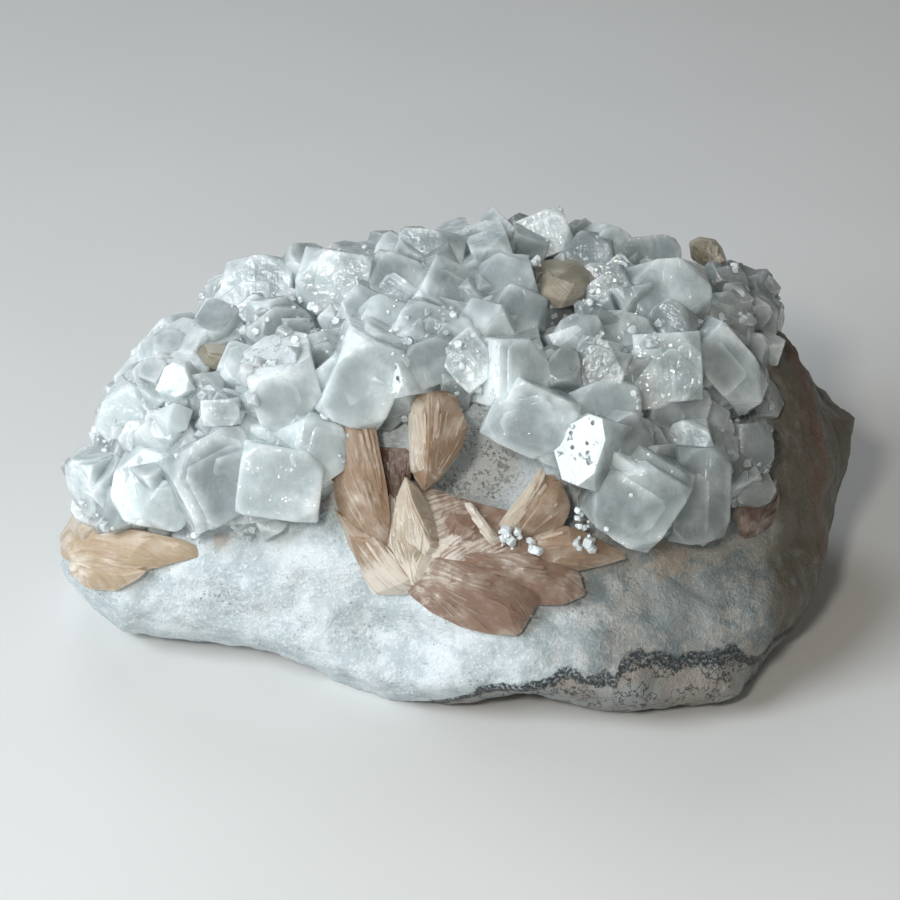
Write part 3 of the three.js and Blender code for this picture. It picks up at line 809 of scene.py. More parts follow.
@dataclass(frozen=True)
class ApophylliteFinish:
    """Colourless apophyllite: glass-clear where fresh, milky where it is full of veils.

    Attributes:
        name: the name of the material.
        milk: the colour of the veils; brighter ones are frost.
        painted_sheen: a painted highlight, near white, on the pearly faces, with painted shade in
            their pits (pit_shade).
        absorbed: the colour that deep crystal takes, with its density.
        cloudy_from: the milky share of the clearest crystal; that of the milkiest is cloudy_to.
        depth: how deep light goes into the milky part, in metres.
        swirl_size: width of the swirls of milk; ripples, pits, grooves and painted glints lie on
            faces.
    """

    name: str = "apophyllite"
    clear: Tint = Tint(250, 253, 252)
    milk: Tint = Tint(198, 208, 209)
    frost: Tint = Tint(228, 236, 237)
    painted_sheen: Tint = Tint(236, 243, 244)
    pit_shade: Tint = Tint(92, 98, 100)
    painted_glint: Tint = Tint(255, 255, 255)
    index: float = 1.535
    absorbed: Tint = Tint(214, 226, 226)
    absorption: float = 4.0
    cloudy_from: float = 0.3
    cloudy_to: float = 0.95
    depth: float = 0.004
    swirl_size: float = 5.2
    ripple_size: float = 2.0
    pit_spacing: float = 2.1
    groove_size: float = 0.6
    painted_glint_size: float = 0.4
    relief: float = 0.42

    def material(self) -> bpy.types.Material:
        """The crystals' material."""
        g = Graph(self.name)
        place, face = g.place, g.growth()
        milk, pearl, rim = g.value("milk"), g.value("pearl"), g.rim()
        swirl = g.noise(place, self.swirl_size, 3, 0.5)
        ripple = g.noise(face, self.ripple_size, 3, 0.55, flat=True)
        # Painted highlight: where the pearly faces are turned near white.
        painted_sheen = pearl * ripple.eased(0.3, 0.4)
        # Painted shade in the pits of the pearly faces.
        pits = g.cells(face, self.pit_spacing).eased(0.2, 0.13)
        pits = pits * swirl.eased(0.53, 0.56) * milk.eased(0.6, 0.5)
        grooves = g.noise(g.stretched(face, (1, 0.07, 0)), self.groove_size, 2, 0.6, flat=True)
        normal = g.bump(ripple + grooves * 0.25, self.relief, 0.8)
        rough = swirl.eased(0.35, 0.7, 0.02, 0.1) + painted_sheen * 0.2
        fresh = {
            "Base Color": self.clear.linear, "Roughness": rough, "Normal": normal,
            "IOR": self.index, "Transmission Weight": 1.0,
        }
        cleaved = grooves.eased(0.64, 0.72) * swirl.eased(0.54, 0.62)
        # Milkier towards the rims of the faces: a painted highlight along the edges.
        cloud = (milk + swirl * 0.7 - 0.35 + rim.eased(0.6, 1.0, 0, 0.22)).eased(
            0.1, 1.0, self.cloudy_from, self.cloudy_to
        )
        # Painted glints: white flecks near the rims of the faces.
        painted_glints = g.noise(face, self.painted_glint_size, 2, 0.65, flat=True).eased(0.58, 0.68)
        painted_glints = painted_glints * rim.eased(0.78, 0.95) * swirl.eased(0.5, 0.6)
        bright = swirl.eased(0.4, 0.7).most(cleaved).most(milk.eased(0.75, 1.0))
        bright = g.mixed(bright, self.milk, self.frost)
        # Painted highlight on the pearly faces.
        bright = g.mixed(painted_sheen * 0.5, bright, self.painted_sheen)
        # Painted shade in the pits of the pearly faces, and painted glints near the rims.
        bright = g.mixed(painted_glints, g.mixed(pits * pearl, bright, self.pit_shade), self.painted_glint)
        cloudy = {
            "Base Color": bright, "Roughness": rough + 0.05, "Normal": normal, "IOR": self.index,
            "Subsurface Weight": 1.0, "Subsurface Radius": (1.0, 1.0, 1.0),
            "Subsurface Scale": self.depth,
        }
        clear_part = g.node("ShaderNodeBsdfPrincipled", {}, fresh)
        cloudy_part = g.node("ShaderNodeBsdfPrincipled", {}, cloudy)
        sockets = {0: cloud.most(painted_sheen).most(cleaved).most(painted_glints), 1: clear_part, 2: cloudy_part}
        volume = {"Color": self.absorbed.linear, "Density": self.absorption}
        return g.finish(
            g.node("ShaderNodeMixShader", {}, sockets),
            g.node("ShaderNodeVolumeAbsorption", {}, volume),
        )


@dataclass(frozen=True)
class StilbiteFinish:
    """Pearly stilbite, finely grooved along its blades and frayed white at their roots.

    Attributes:
        fibre: the colour of frayed fibres.
        gap: the colour between them.
        strand_size: width of the fibres.
        pearl: the weight of the pearly coat, and its roughness.
        depth: how deep light goes, in metres.
    """

    fibre: Tint = Tint(226, 218, 206)
    gap: Tint = Tint(152, 118, 96)
    strand_size: float = 0.45
    cloud_size: float = 3.2
    relief: float = 0.24
    index: float = 1.5
    pearl: float = 0.25
    depth: float = 0.0016

    def material(self) -> bpy.types.Material:
        """The blades' material."""
        g = Graph("stilbite")
        place, face = g.place, g.growth()
        tint, root, edge = g.colour("tint"), g.value("root"), g.value("edge")
        strands = g.noise(g.stretched(face, (1, 0.05, 0)), self.strand_size, 4, 0.65, flat=True)
        cloud = g.noise(place, self.cloud_size, 4, 0.6)
        colour = g.mixed(cloud.eased(0.4, 0.75, 0, 0.35), tint, self.fibre)
        frayed = (root + strands * 0.9 - 0.45 + (cloud - 0.5)).eased(0.35, 0.8)
        colour = g.mixed(frayed.most(edge * 0.35) * 0.85, colour, self.fibre)
        colour = g.mixed(strands.eased(0.47, 0.3) * (root * 0.6 + 0.2), colour, self.gap)
        normal = g.bump(strands + g.noise(place, 0.5, 2) * 0.3, self.relief, 0.8)
        sockets = {
            "Base Color": colour, "Roughness": cloud.eased(0.3, 0.7, 0.3, 0.5), "Normal": normal,
            "IOR": self.index, "Coat Weight": self.pearl, "Coat Roughness": self.pearl,
            "Subsurface Weight": 0.5, "Subsurface Radius": (1.1, 0.9, 0.8),
            "Subsurface Scale": self.depth,
        }
        return g.finish(g.node("ShaderNodeBsdfPrincipled", {}, sockets))


# ---- meshes of the parts


@dataclass
class Form:
    """A closed form in its own millimetres, which stands at a place on the piece.

    Attributes:
        points: the corners, in the form's own frame.
        faces: the corners of each face.
        at: the form's origin on the piece.
        axes: the form's axes on the piece, as columns.
    """

    points: Array
    faces: list[list[int]]
    at: Array
    axes: Array

    def placed(self) -> Array:
        """The corners on the piece."""
        return self.at + self.points @ self.axes.T


def hull(points: Array) -> tuple[Array, list[list[int]]]:
    """The convex form about points.

    Args:
        points: the points.

    Returns:
        Its corners and its faces.
    """
    mesh = bmesh.new()
    for point in points:
        mesh.verts.new(point)
    bmesh.ops.convex_hull(mesh, input=mesh.verts)
    bmesh.ops.delete(mesh, geom=[v for v in mesh.verts if not v.link_faces], context="VERTS")
    bmesh.ops.dissolve_limit(mesh, angle_limit=0.01, verts=mesh.verts, edges=mesh.edges)
    bmesh.ops.recalc_face_normals(mesh, faces=mesh.faces)
    mesh.verts.index_update()
    corners = np.array([v.co for v in mesh.verts])
    faces = [[v.index for v in face.verts] for face in mesh.faces]
    mesh.free()
    return corners, faces


def chamfered(points: Array, chamfer: float) -> tuple[Array, list[list[int]]]:
    """The convex form about points, with a narrow flat along each of its edges.

    Args:
        points: the points.
        chamfer: how far each face draws back from its edges.

    Returns:
        Its corners and its faces.
    """
    corners, faces = hull(points)
    if not chamfer:
        return corners, faces
    drawn = []
    for face in faces:
        ring = corners[face]
        ahead = unit(np.roll(ring, -1, axis=0) - ring)
        behind = np.roll(ahead, 1, axis=0)
        normal = unit(np.cross(behind[0], ahead[0]))
        inner, inner_before = np.cross(normal, ahead), np.cross(normal, behind)
        share = chamfer / np.maximum(1 + (inner * inner_before).sum(1), 0.2)
        drawn.append(ring + (inner + inner_before) * share[:, None])
    return hull(np.vstack(drawn))


class Fused:
    """Many closed forms joined into one closed surface, in millimetres.

    Attributes:
        forms: the forms.
        points: the corners of the surface.
        ring_sizes: how many corners each face has.
        rings: the corners of the faces, one face after another.
        owner: the number of the form that each face comes from.
        normals: the outward direction of each face.
    """

    def __init__(self, forms: list[Form]) -> None:
        """Joins the forms.

        Args:
            forms: the forms, which may lie in each other.
        """
        self.forms = forms
        group = bpy.data.collections.new("forms")
        for number, form in enumerate(forms):
            mesh = bpy.data.meshes.new("form")
            mesh.from_pydata(form.placed().tolist(), [], form.faces)
            owner = mesh.attributes.new("owner", "FLOAT", "FACE")
            owner.data.foreach_set("value", np.full(len(mesh.polygons), number, np.float32))
            group.objects.link(bpy.data.objects.new("form", mesh))
        first = group.objects[0]
        group.objects.unlink(first)
        bpy.context.scene.collection.objects.link(first)
        join = first.modifiers.new("join", "BOOLEAN")
        join.operation, join.operand_type, join.collection = "UNION", "COLLECTION", group
        join.solver = "MANIFOLD"
        bpy.context.view_layer.update()
        joined = bpy.data.meshes.new_from_object(
            first.evaluated_get(bpy.context.evaluated_depsgraph_get())
        )
        self._read(joined)
        bpy.data.meshes.remove(joined)
        for thing in [first, *group.objects]:
            bpy.data.meshes.remove(thing.data)
        bpy.data.collections.remove(group)

    def _read(self, mesh: bpy.types.Mesh) -> None:
        """Takes the arrays of the joined surface.

        Args:
            mesh: the joined mesh.
        """
        self.points = np.zeros(len(mesh.vertices) * 3, np.float32)
        mesh.vertices.foreach_get("co", self.points)
        self.points = self.points.reshape(-1, 3).astype(float)
        self.rings = np.zeros(len(mesh.loops), np.int32)
        mesh.loops.foreach_get("vertex_index", self.rings)
        self.ring_sizes = np.zeros(len(mesh.polygons), np.int32)
        mesh.polygons.foreach_get("loop_total", self.ring_sizes)
        self.normals = np.zeros(len(mesh.polygons) * 3, np.float32)
        mesh.polygons.foreach_get("normal", self.normals)
        self.normals = self.normals.reshape(-1, 3).astype(float)
        owner = np.zeros(len(mesh.polygons), np.float32)
        mesh.attributes["owner"].data.foreach_get("value", owner)
        self.owner = np.rint(owner).astype(int)

    @property
    def faces(self) -> list[list[int]]:
        """The corners of each face, as lists."""
        ends = np.cumsum(self.ring_sizes)
        return [ring.tolist() for ring in np.split(self.rings, ends[:-1])]

    @property
    def face_of_corner(self) -> Array:
        """The number of the face that each corner of a face belongs to."""
        return np.repeat(np.arange(len(self.ring_sizes)), self.ring_sizes)

    def _axes(self, owner: Array) -> Array:
        """The axes of the forms with these numbers."""
        return np.array([form.axes for form in self.forms])[owner]

    def own_normals(self) -> Array:
        """The direction of each face, in the frame of its own form."""
        return np.einsum("fij,fi->fj", self._axes(self.owner), self.normals)

    def own_places(self) -> Array:
        """Each corner of each face, in the frame of the face's own form."""
        owner = self.owner[self.face_of_corner]
        origins = np.array([form.at for form in self.forms])[owner]
        return np.einsum("cij,ci->cj", self._axes(owner), self.points[self.rings] - origins)

    def tree(self) -> BVHTree:
        """The surface, ready for rays."""
        return BVHTree.FromPolygons(self.points.tolist(), self.faces)

    def piece(self, name: str) -> bpy.types.Object:
        """The surface as an object, in metres."""
        return new_piece(name, self.points, self.faces)


def new_piece(name: str, points: Array, faces: list[list[int]]) -> bpy.types.Object:
    """A mesh object at the origin.

    Args:
        name: its name.
        points: its corners, in millimetres.
        faces: the corners of each face.

    Returns:
        The object.
    """
    mesh = bpy.data.meshes.new(name)
    mesh.from_pydata((points * MM).tolist(), [], faces)
    thing = bpy.data.objects.new(name, mesh)
    bpy.context.scene.collection.objects.link(thing)
    return thing


def carry(piece: bpy.types.Object, name: str, kind: str, domain: str, values: Array) -> None:
    """Gives a mesh values that its material reads.

    Args:
        piece: the mesh object.
        name: the name of the values.
        kind: FLOAT or FLOAT_COLOR.
        domain: POINT, FACE or CORNER.
        values: one row for each point, face or corner.
    """
    layer = piece.data.attributes.new(name, kind, domain)
    key = "color" if kind == "FLOAT_COLOR" else "value"
    layer.data.foreach_set(key, np.ascontiguousarray(values, np.float32).ravel())


def carry_uv(piece: bpy.types.Object, name: str, places: Array) -> None:
    """Gives a mesh a UV layer, with one place for each corner of its faces."""
    layer = piece.data.uv_layers.new(name=name)
    layer.data.foreach_set("uv", places.astype(np.float32).ravel())


def hand_over(piece: bpy.types.Object, slot: str, *nodes: str) -> bpy.types.Object:
    """Lets a piece ride on the body and stand for its solids, and reports it.

    Args:
        piece: the finished piece.
        slot: the record's material slot; not used.
        nodes: the solids that it stands for.

    Returns:
        The piece.
    """
    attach(piece, "root")
    if nodes:
        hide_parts(*nodes)
    triangles = sum(len(face.vertices) - 2 for face in piece.data.polygons)
    log.info("%s: %d triangles", piece.name, triangles)
    return piece


# ---- matrix stone


@dataclass
class MatrixStone:
    """The stone that carries the crystals, finely grained where it is bare.

    Attributes:
        coarse_levels: how often its ball of triangles is halved.
        bare_cuts: how many cuts each edge gets where the stone is bare.
        grain: the width of the grains.
        grain_height: how high they stand; lumps and flutes are given alike.
        end: where the fluted right end begins and where it is full, along X.
        base_rise: how far the base may rise off the floor.
        seam: the line of the dark seam on the layout.
        seam_rise: how far above that line it is, and how much it falls in each mm to the left.
    """

    form: StoneForm
    crust: "CrustPlan"
    finish: MatrixFinish = MatrixFinish()
    coarse_levels: int = 6
    bare_cuts: int = 3
    grain: float = 1.0
    grain_height: float = 0.2
    lump: float = 4.6
    lump_height: float = 0.8
    flute: tuple[float, float, float] = (0.5, 0.5, 0.09)
    flute_height: float = 0.7
    end: tuple[float, float] = (44.0, 50.0)
    base_rise: float = 0.5
    seam: tuple[tuple[float, float], ...] = (
        (3.2, -35.3), (9, -34.9), (14.4, -33.9), (16.6, -32.3), (19.7, -33.1), (23.4, -33.1),
        (24.2, -31.3), (28, -30.2), (32.7, -31.3), (37.6, -31.2), (41.4, -30.2), (45, -29.7),
    )
    seam_rise: tuple[float, float] = (0.4, 0.8)

    def _above_seam(self, points: Array) -> Array:
        """How far points stand above the seam, which crosses the stone.

        Args:
            points: points of the stone.

        Returns:
            One height for each, in millimetres.
        """
        places = self.form.set_out(np.array(self.seam), 0.0)
        rise, fall = self.seam_rise
        heights = np.interp(points[:, 0], places[:, 0], places[:, 2] + rise)
        left = places[0, 0] - points[:, 0]
        return points[:, 2] - heights + fall * np.maximum(left, 0)

    def _ball(self) -> tuple[Array, list[list[int]]]:
        """A ball of triangles that are small where the stone will be bare."""
        ball = bmesh.new()
        bmesh.ops.create_icosphere(ball, subdivisions=self.coarse_levels, radius=1.0)
        points = self.form.surface(np.array([v.co for v in ball.verts]))
        bare = self.crust.bareness(points, self.form.normal(points)) > 0
        edges = {e for f in ball.faces if any(bare[v.index] for v in f.verts) for e in f.edges}
        bmesh.ops.subdivide_edges(ball, edges=list(edges), cuts=self.bare_cuts, use_grid_fill=True)
        bmesh.ops.triangulate(ball, faces=ball.faces)
        ball.verts.index_update()
        directions = unit(np.array([v.co for v in ball.verts]))
        faces = [[v.index for v in face.verts] for face in ball.faces]
        ball.free()
        return directions, faces

    def _relief(self, points: Array) -> Array:
        """How high the grains, lumps and flutes stand.

        Args:
            points: points of the smooth stone.

        Returns:
            One height for each.
        """
        distance, number = LatticeNoise.grains(points / self.grain)
        grains = (0.6 + 0.8 * number) * (0.45 - distance**2)
        lumps = LatticeNoise.layered(points / self.lump, 4)
        flutes = LatticeNoise.layered(points * self.flute, 4)
        end = eased(points[:, 0], *self.end)
        sugary = self.grain_height * grains + self.lump_height * lumps
        return (1 - end) * sugary + end * (0.5 * sugary + self.flute_height * flutes)

    def build(self) -> bpy.types.Object:
        """Makes the stone."""
        directions, faces = self._ball()
        points = self.form.surface(directions)
        normals = self.form.normal(points)
        base = points[:, 2] < BASE_SKIN
        relief = self._relief(points)
        points[~base] += (normals * relief[:, None])[~base]
        flat = np.clip(relief, 0, self.base_rise)
        points[:, 2] = np.where(base, flat, np.maximum(points[:, 2], 0))
        piece = new_piece("matrix_stone_grained", points, faces)
        piece.data.shade_smooth()
        carry(piece, "relief", "FLOAT", "POINT", relief)
        carry(piece, "above_seam", "FLOAT", "POINT", self._above_seam(points))
        piece.data.materials.append(self.finish.material(self.form))
        return hand_over(piece, "matrix", "matrix_stone")


# ---- apophyllite


class Side(Enum):
    """The faces of a block, by its own axes."""

    NONE = (0, 0, 0)
    FRONT = (0, 0, 1)
    LEFT = (-1, 0, 0)
    TOP = (0, 1, 0)


@dataclass(frozen=True)
class CrustPlan:
    """Which part of the stone the apophyllite covers.

    Attributes:
        edge: its outline on the layout.
        back_height: the height of its lower edge at the back.
        seen_from: how far towards the eye a surface that it shows is turned.
        bare_margin: how far in from its edge the stone still counts as bare.
    """

    form: StoneForm
    edge: tuple[tuple[float, float], ...] = (
        (-66, -8), (-55, -11), (-46, -12), (-37, -9.5), (-30, -9), (-24, -8.5), (-19.5, -4),
        (-18, 3), (-9, 4), (-7.5, 10), (-3, 11.5), (2, 8), (4, 5), (11, 0.5), (15, -4),
        (18, -7.5), (23, -11), (27, -14.5), (33, -12.5), (40, -11), (42, -3), (49, -1),
        (50, 8), (50, 30), (40, 60), (-66, 60),
    )
    back_height: float = 27.0
    stone_right: float = 43.0
    seen_from: float = 0.12
    bare_margin: float = 3.0

    def _seen(self, points: Array, normals: Array) -> Array:
        """True for points whose surface faces the layout's eye."""
        return (normals * unit(self.form.layout.eye - points)).sum(1) > self.seen_from

    def covers(self, points: Array, normals: Array, inset: float) -> Array:
        """True where the crust covers the stone.

        Args:
            points: points of the stone's surface.
            normals: its outward directions there.
            inset: how far inside the crust's lower edge they have to lie.

        Returns:
            One flag for each point.
        """
        places = self.form.layout.shows_at(points)
        front = edge_distance(places, np.array(self.edge)) < -inset
        covered = np.where(self._seen(points, normals), front, points[:, 2] > self.back_height)
        return covered & (points[:, 0] < self.stone_right)

    def bareness(self, points: Array, normals: Array) -> Array:
        """1 where the stone shows, and 0 under the crust and on the flat base."""
        hidden = self.covers(points, normals, self.bare_margin) | (points[:, 2] < BASE_SKIN)
        return np.where(hidden, 0.0, 1.0)


@dataclass(frozen=True)
class Crystal:
    """A large crystal, set out by the middle of the face it shows, in millimetres and degrees."""

    across: float
    up: float
    width: float
    height: float
    roll: float
    right: float
    upwards: float
    off: float
    pearl: Side = Side.NONE


# From the left end to the right: left lobe, saddle, right lobe, and the long one that leans out.
CRYSTALS = tuple(Crystal(*row) for row in (
    (-30.6, 26.6, 10.4, 8.4, 2, -12, 12, 6.5, Side.LEFT), (-36.6, 21.6, 7, 6.5, 20, -24, 20, 6),
    (-41.4, 18.6, 6.6, 6.2, -12, -25, 25, 6), (-45.4, 16.2, 6.4, 6, 30, -32, 22, 5.5),
    (-49, 12.8, 6.6, 6.4, 8, -36, 15, 5.5), (-44.6, 12.4, 7.4, 7, 25, -18, 10, 7),
    (-31.6, 14.2, 6.8, 6, -24, 12, 24, 6, Side.TOP), (-26, 19.4, 8.4, 7.4, 40, 8, 16, 5),
    (-25.6, 8.4, 9.4, 9.6, 18, 8, -30, 9, Side.TOP), (-32.9, 6, 8, 7, -32, 15, 8, 7),
    (-39.6, 9, 8, 7, 10, -8, 12, 7.5), (-50.4, 6.6, 7.4, 9, -20, -28, 5, 6.5),
    (-53, 1.4, 6, 8, 12, -38, 8, 5), (-44.4, 2.4, 9.4, 8, 35, -12, -8, 8),
    (-48.2, -4, 8.6, 11, -14, -24, -6, 8, Side.FRONT), (-36.4, -3, 11, 11.5, 28, 18, 8, 9),
    (-27, -3.6, 11.5, 10, -8, 12, -14, 8), (-20.8, 2, 8, 9, 34, 22, -10, 6.5),
    (-57, -4.6, 5.4, 8, -10, -38, -6, 6), (-53.2, -7, 7, 7.4, 22, -34, -14, 5.5),
    (-43, -7.4, 9, 7, 14, 4, -20, 7.5), (-32.4, -7, 8, 5, 4, 8, -24, 6.5),
    (-19.8, 26.2, 9.4, 9.4, -10, -2, 6, 7), (-11, 27, 9.4, 8, -24, -12, 16, 6.5),
    (-4.4, 31, 9.6, 7, -5, -8, 10, 6.5), (-19.6, 14.4, 7, 9.4, 12, -14, 4, 6.5),
    (-14.4, 11, 9.4, 12.5, -22, 12, -8, 9.5), (-10.6, 20.6, 9, 9, 18, -8, 20, 7),
    (-4.4, 18.6, 10.5, 9, -22, 10, 12, 7.5),
    (-10.4, 13.2, 4, 7.4, 10, -48, -6, 9.5, Side.FRONT), (-4.2, 14.6, 8, 6.4, 20, 10, -6, 9),
    (1.6, 14.6, 6, 6.4, 38, -26, -4, 9), (2.4, 21.4, 8, 7, 26, -18, 18, 7.5),
    (-0.8, 26, 8.4, 7, -30, 12, 20, 6.5), (6.6, 27.4, 8.4, 8, 16, -8, 22, 6.5),
    (3.8, 32, 7, 5, -12, 10, 16, 6), (12.2, 33, 9, 5.4, 22, 8, 18, 6),
    (18.6, 31, 8, 7.2, 10, -6, 12, 6), (23.8, 30.8, 7.4, 7, -28, 8, 14, 6),
    (29, 30.6, 8.6, 6, 6, 6, 22, 6.5), (22.5, 23.5, 8, 8, 34, -10, 4, 6),
    (31.6, 25.2, 12, 9.8, 4, 14, -4, 9), (24.9, 18.6, 8, 7, -18, 8, 12, 7),
    (17.9, 19, 7, 6.5, 32, -14, 10, 7), (9.2, 23, 8.6, 7, 16, 6, 16, 7),
    (9.6, 13, 7.6, 9.4, 2, 22, -6, 10.5, Side.LEFT), (10.4, 5.4, 11.4, 8.8, -25, 4, -12, 9.5),
    (15.6, 14.4, 4.6, 5, 8, 18, 10, 10), (20.6, 13.6, 7.4, 6.4, -14, -8, 10, 9),
    (22.4, 8.2, 9.6, 7.4, 12, 6, 20, 9.5), (17.8, 1.8, 7.4, 9.8, -18, -34, 6, 11, Side.FRONT),
    (25.2, 2.6, 8.6, 8.6, -16, 24, 10, 10.5), (26.4, -6.8, 11.2, 11.6, -32, 6, -8, 11),
    (36.8, -5.4, 7.6, 13.4, 2, 16, -4, 7.5), (33.8, 2.2, 7.4, 7, 20, -10, 10, 7),
    (33.4, 7.6, 8, 7, -16, 10, 8, 6), (31.3, 13.8, 9.4, 9.6, 3, 12, 6, 9),
    (37.6, 6.4, 6.6, 6.4, 12, 20, 4, 5.5), (43.6, 1.2, 7.4, 6.4, 4, 22, 0, 5),
    (41, 21, 8.4, 9, -8, 24, 12, 4.5), (40, 26, 7, 6, 14, 14, 16, 3.5),
    (44, 12, 6, 8.4, 8, 32, 6, 3), (41.2, 13.4, 7, 12.6, 45, 14, -8, 8),
))


@dataclass
class BlockForm(Form):
    """A square block of apophyllite, and how milky it is."""

    size: Array
    milk: float
    pearl: Side


# Patches of the layout where tiny crystals grew thick: left hollow, saddle, right hollow.
DRUSE_PATCHES = (
    ((-35, 25), (-24, 25), (-22, 14), (-33, 13)), ((-12, 24), (0, 24), (2, 17), (-9, 15)),
    ((20, 21), (30, 21), (33, 8), (28, 6), (22, 13)),
)
# Clusters of tiny clear crystals: across, up, off the stone, how far they spread, how many.
DRUSE_CLUSTERS = (
    (19.8, -12.4, 4.4, 0.7, 9), (17.8, -7.8, 5.2, 0.6, 6), (18.4, -10.2, 5, 0.7, 6),
    (-5.4, 12.2, 6, 1.4, 14), (-18.6, 7.3, 6, 0.9, 8), (-19.3, 3.6, 5, 0.8, 8),
    (7.4, -11.6, 3.6, 0.9, 14), (1.6, 12.4, 6, 1, 8), (11.2, -13.3, 3.6, 0.6, 6),
    (12.4, 29.4, 6.4, 0.7, 4), (19.6, 25, 6.4, 1, 6),
)


@dataclass
class Apophyllite:
    """What all the apophyllite has in common: how its blocks are cut, and its dress.

    Attributes:
        large_cuts: how much of a large block its corners lose, from and to; small_cuts likewise.
        chamfer_share: the width of the flats along the edges, in block sizes.
        milkiness: how milky the middle of the piece is, and by how much less each mm rightwards.
        clarity: by how much single blocks are less or more milky.
        pearl_within: the cosine of how far a pearly face may be turned.
        bud: the place on the layout that stays bare for the stilbite bud, and its radius.
    """

    form: StoneForm
    plan: CrustPlan
    material: bpy.types.Material
    numbers: np.random.Generator
    large_cuts: tuple[float, float] = (0.5, 1.0)
    small_cuts: tuple[float, float] = (0.6, 1.5)
    chamfer_share: tuple[float, float] = (0.012, 0.03)
    milkiness: tuple[float, float] = (0.46, 0.0045)
    clarity: tuple[float, float] = (-0.28, 0.28)
    pearl_within: float = 0.97
    bud: tuple[float, float, float] = (-37.4, 15.2, 5.2)

    def spares_bud(self, points: Array) -> Array:
        """True for points that stand clear of the stilbite bud."""
        across, up, radius = self.bud
        return np.linalg.norm(self.form.layout.shows_at(points) - (across, up), axis=1) > radius

    def block(
        self, size: Array, at: Array, axes: Array, milk: float, pearl: Side, plain: bool
    ) -> BlockForm:
        """A block whose corners and edges are cut by chance.

        Args:
            size: its width, height and depth.
            at: where its middle stands.
            axes: its axes, as columns.
            milk: how milky it is.
            pearl: the face that has a pearly shine.
            plain: whether its corners are cut only a little.

        Returns:
            The block.
        """
        share = self.numbers.uniform(*(self.small_cuts if plain else self.large_cuts))
        uneven = self.numbers.uniform(0.3, 1.6, (8, 1)) * self.numbers.uniform(0.7, 1.3, (8, 3))
        cuts = np.minimum(share * uneven * size.min() / 2, 0.49 * size)
        chamfer = self.numbers.uniform(*self.chamfer_share) * size.min()
        points = []
        for signs, take in zip(np.ndindex(2, 2, 2), cuts):
            sign = 2 * np.array(signs) - 1
            corner = sign * size / 2
            points += [corner - sign * side for side in np.diag(take)]
        return BlockForm(*chamfered(np.array(points), chamfer), at, axes, size, milk, pearl)

    def milk_at(self, point: Array) -> float:
        """How milky a crystal is: more so towards the left."""
        middle, fall = self.milkiness
        return float(np.clip(middle - fall * point[0] + self.numbers.uniform(*self.clarity), 0, 1))

    def dress(self, surface: Fused, name: str) -> bpy.types.Object:
        """Gives the joined surface of blocks its growth directions and its finish.

        Args:
            surface: the joined surface.
            name: the name of the piece.

        Returns:
            The piece.
        """
        piece, blocks, owner = surface.piece(name), surface.forms, surface.owner
        signed = surface.own_normals()
        side = np.abs(signed).argmax(1)
        pearls = np.array([block.pearl.value for block in blocks], float)[owner]
        carry(piece, "milk", "FLOAT", "FACE", np.array([block.milk for block in blocks])[owner])
        carry(piece, "pearl", "FLOAT", "FACE", (signed * pearls).sum(1) > self.pearl_within)
        face = surface.face_of_corner
        half = np.array([block.size for block in blocks])[owner[face]] / 2
        local = surface.own_places()
        rows = np.arange(len(local))
        u, v = np.where(side[face] == 0, 2, 0), np.where(side[face] == 1, 2, 1)
        across, along = local[rows, u], local[rows, v]
        carry_uv(piece, "Growth", np.stack([across + owner[face] * UV_STEP, along], 1))
        carry_uv(piece, "Rim", np.stack([across / half[rows, u], along / half[rows, v]], 1))
        piece.data.materials.append(self.material)
        return piece


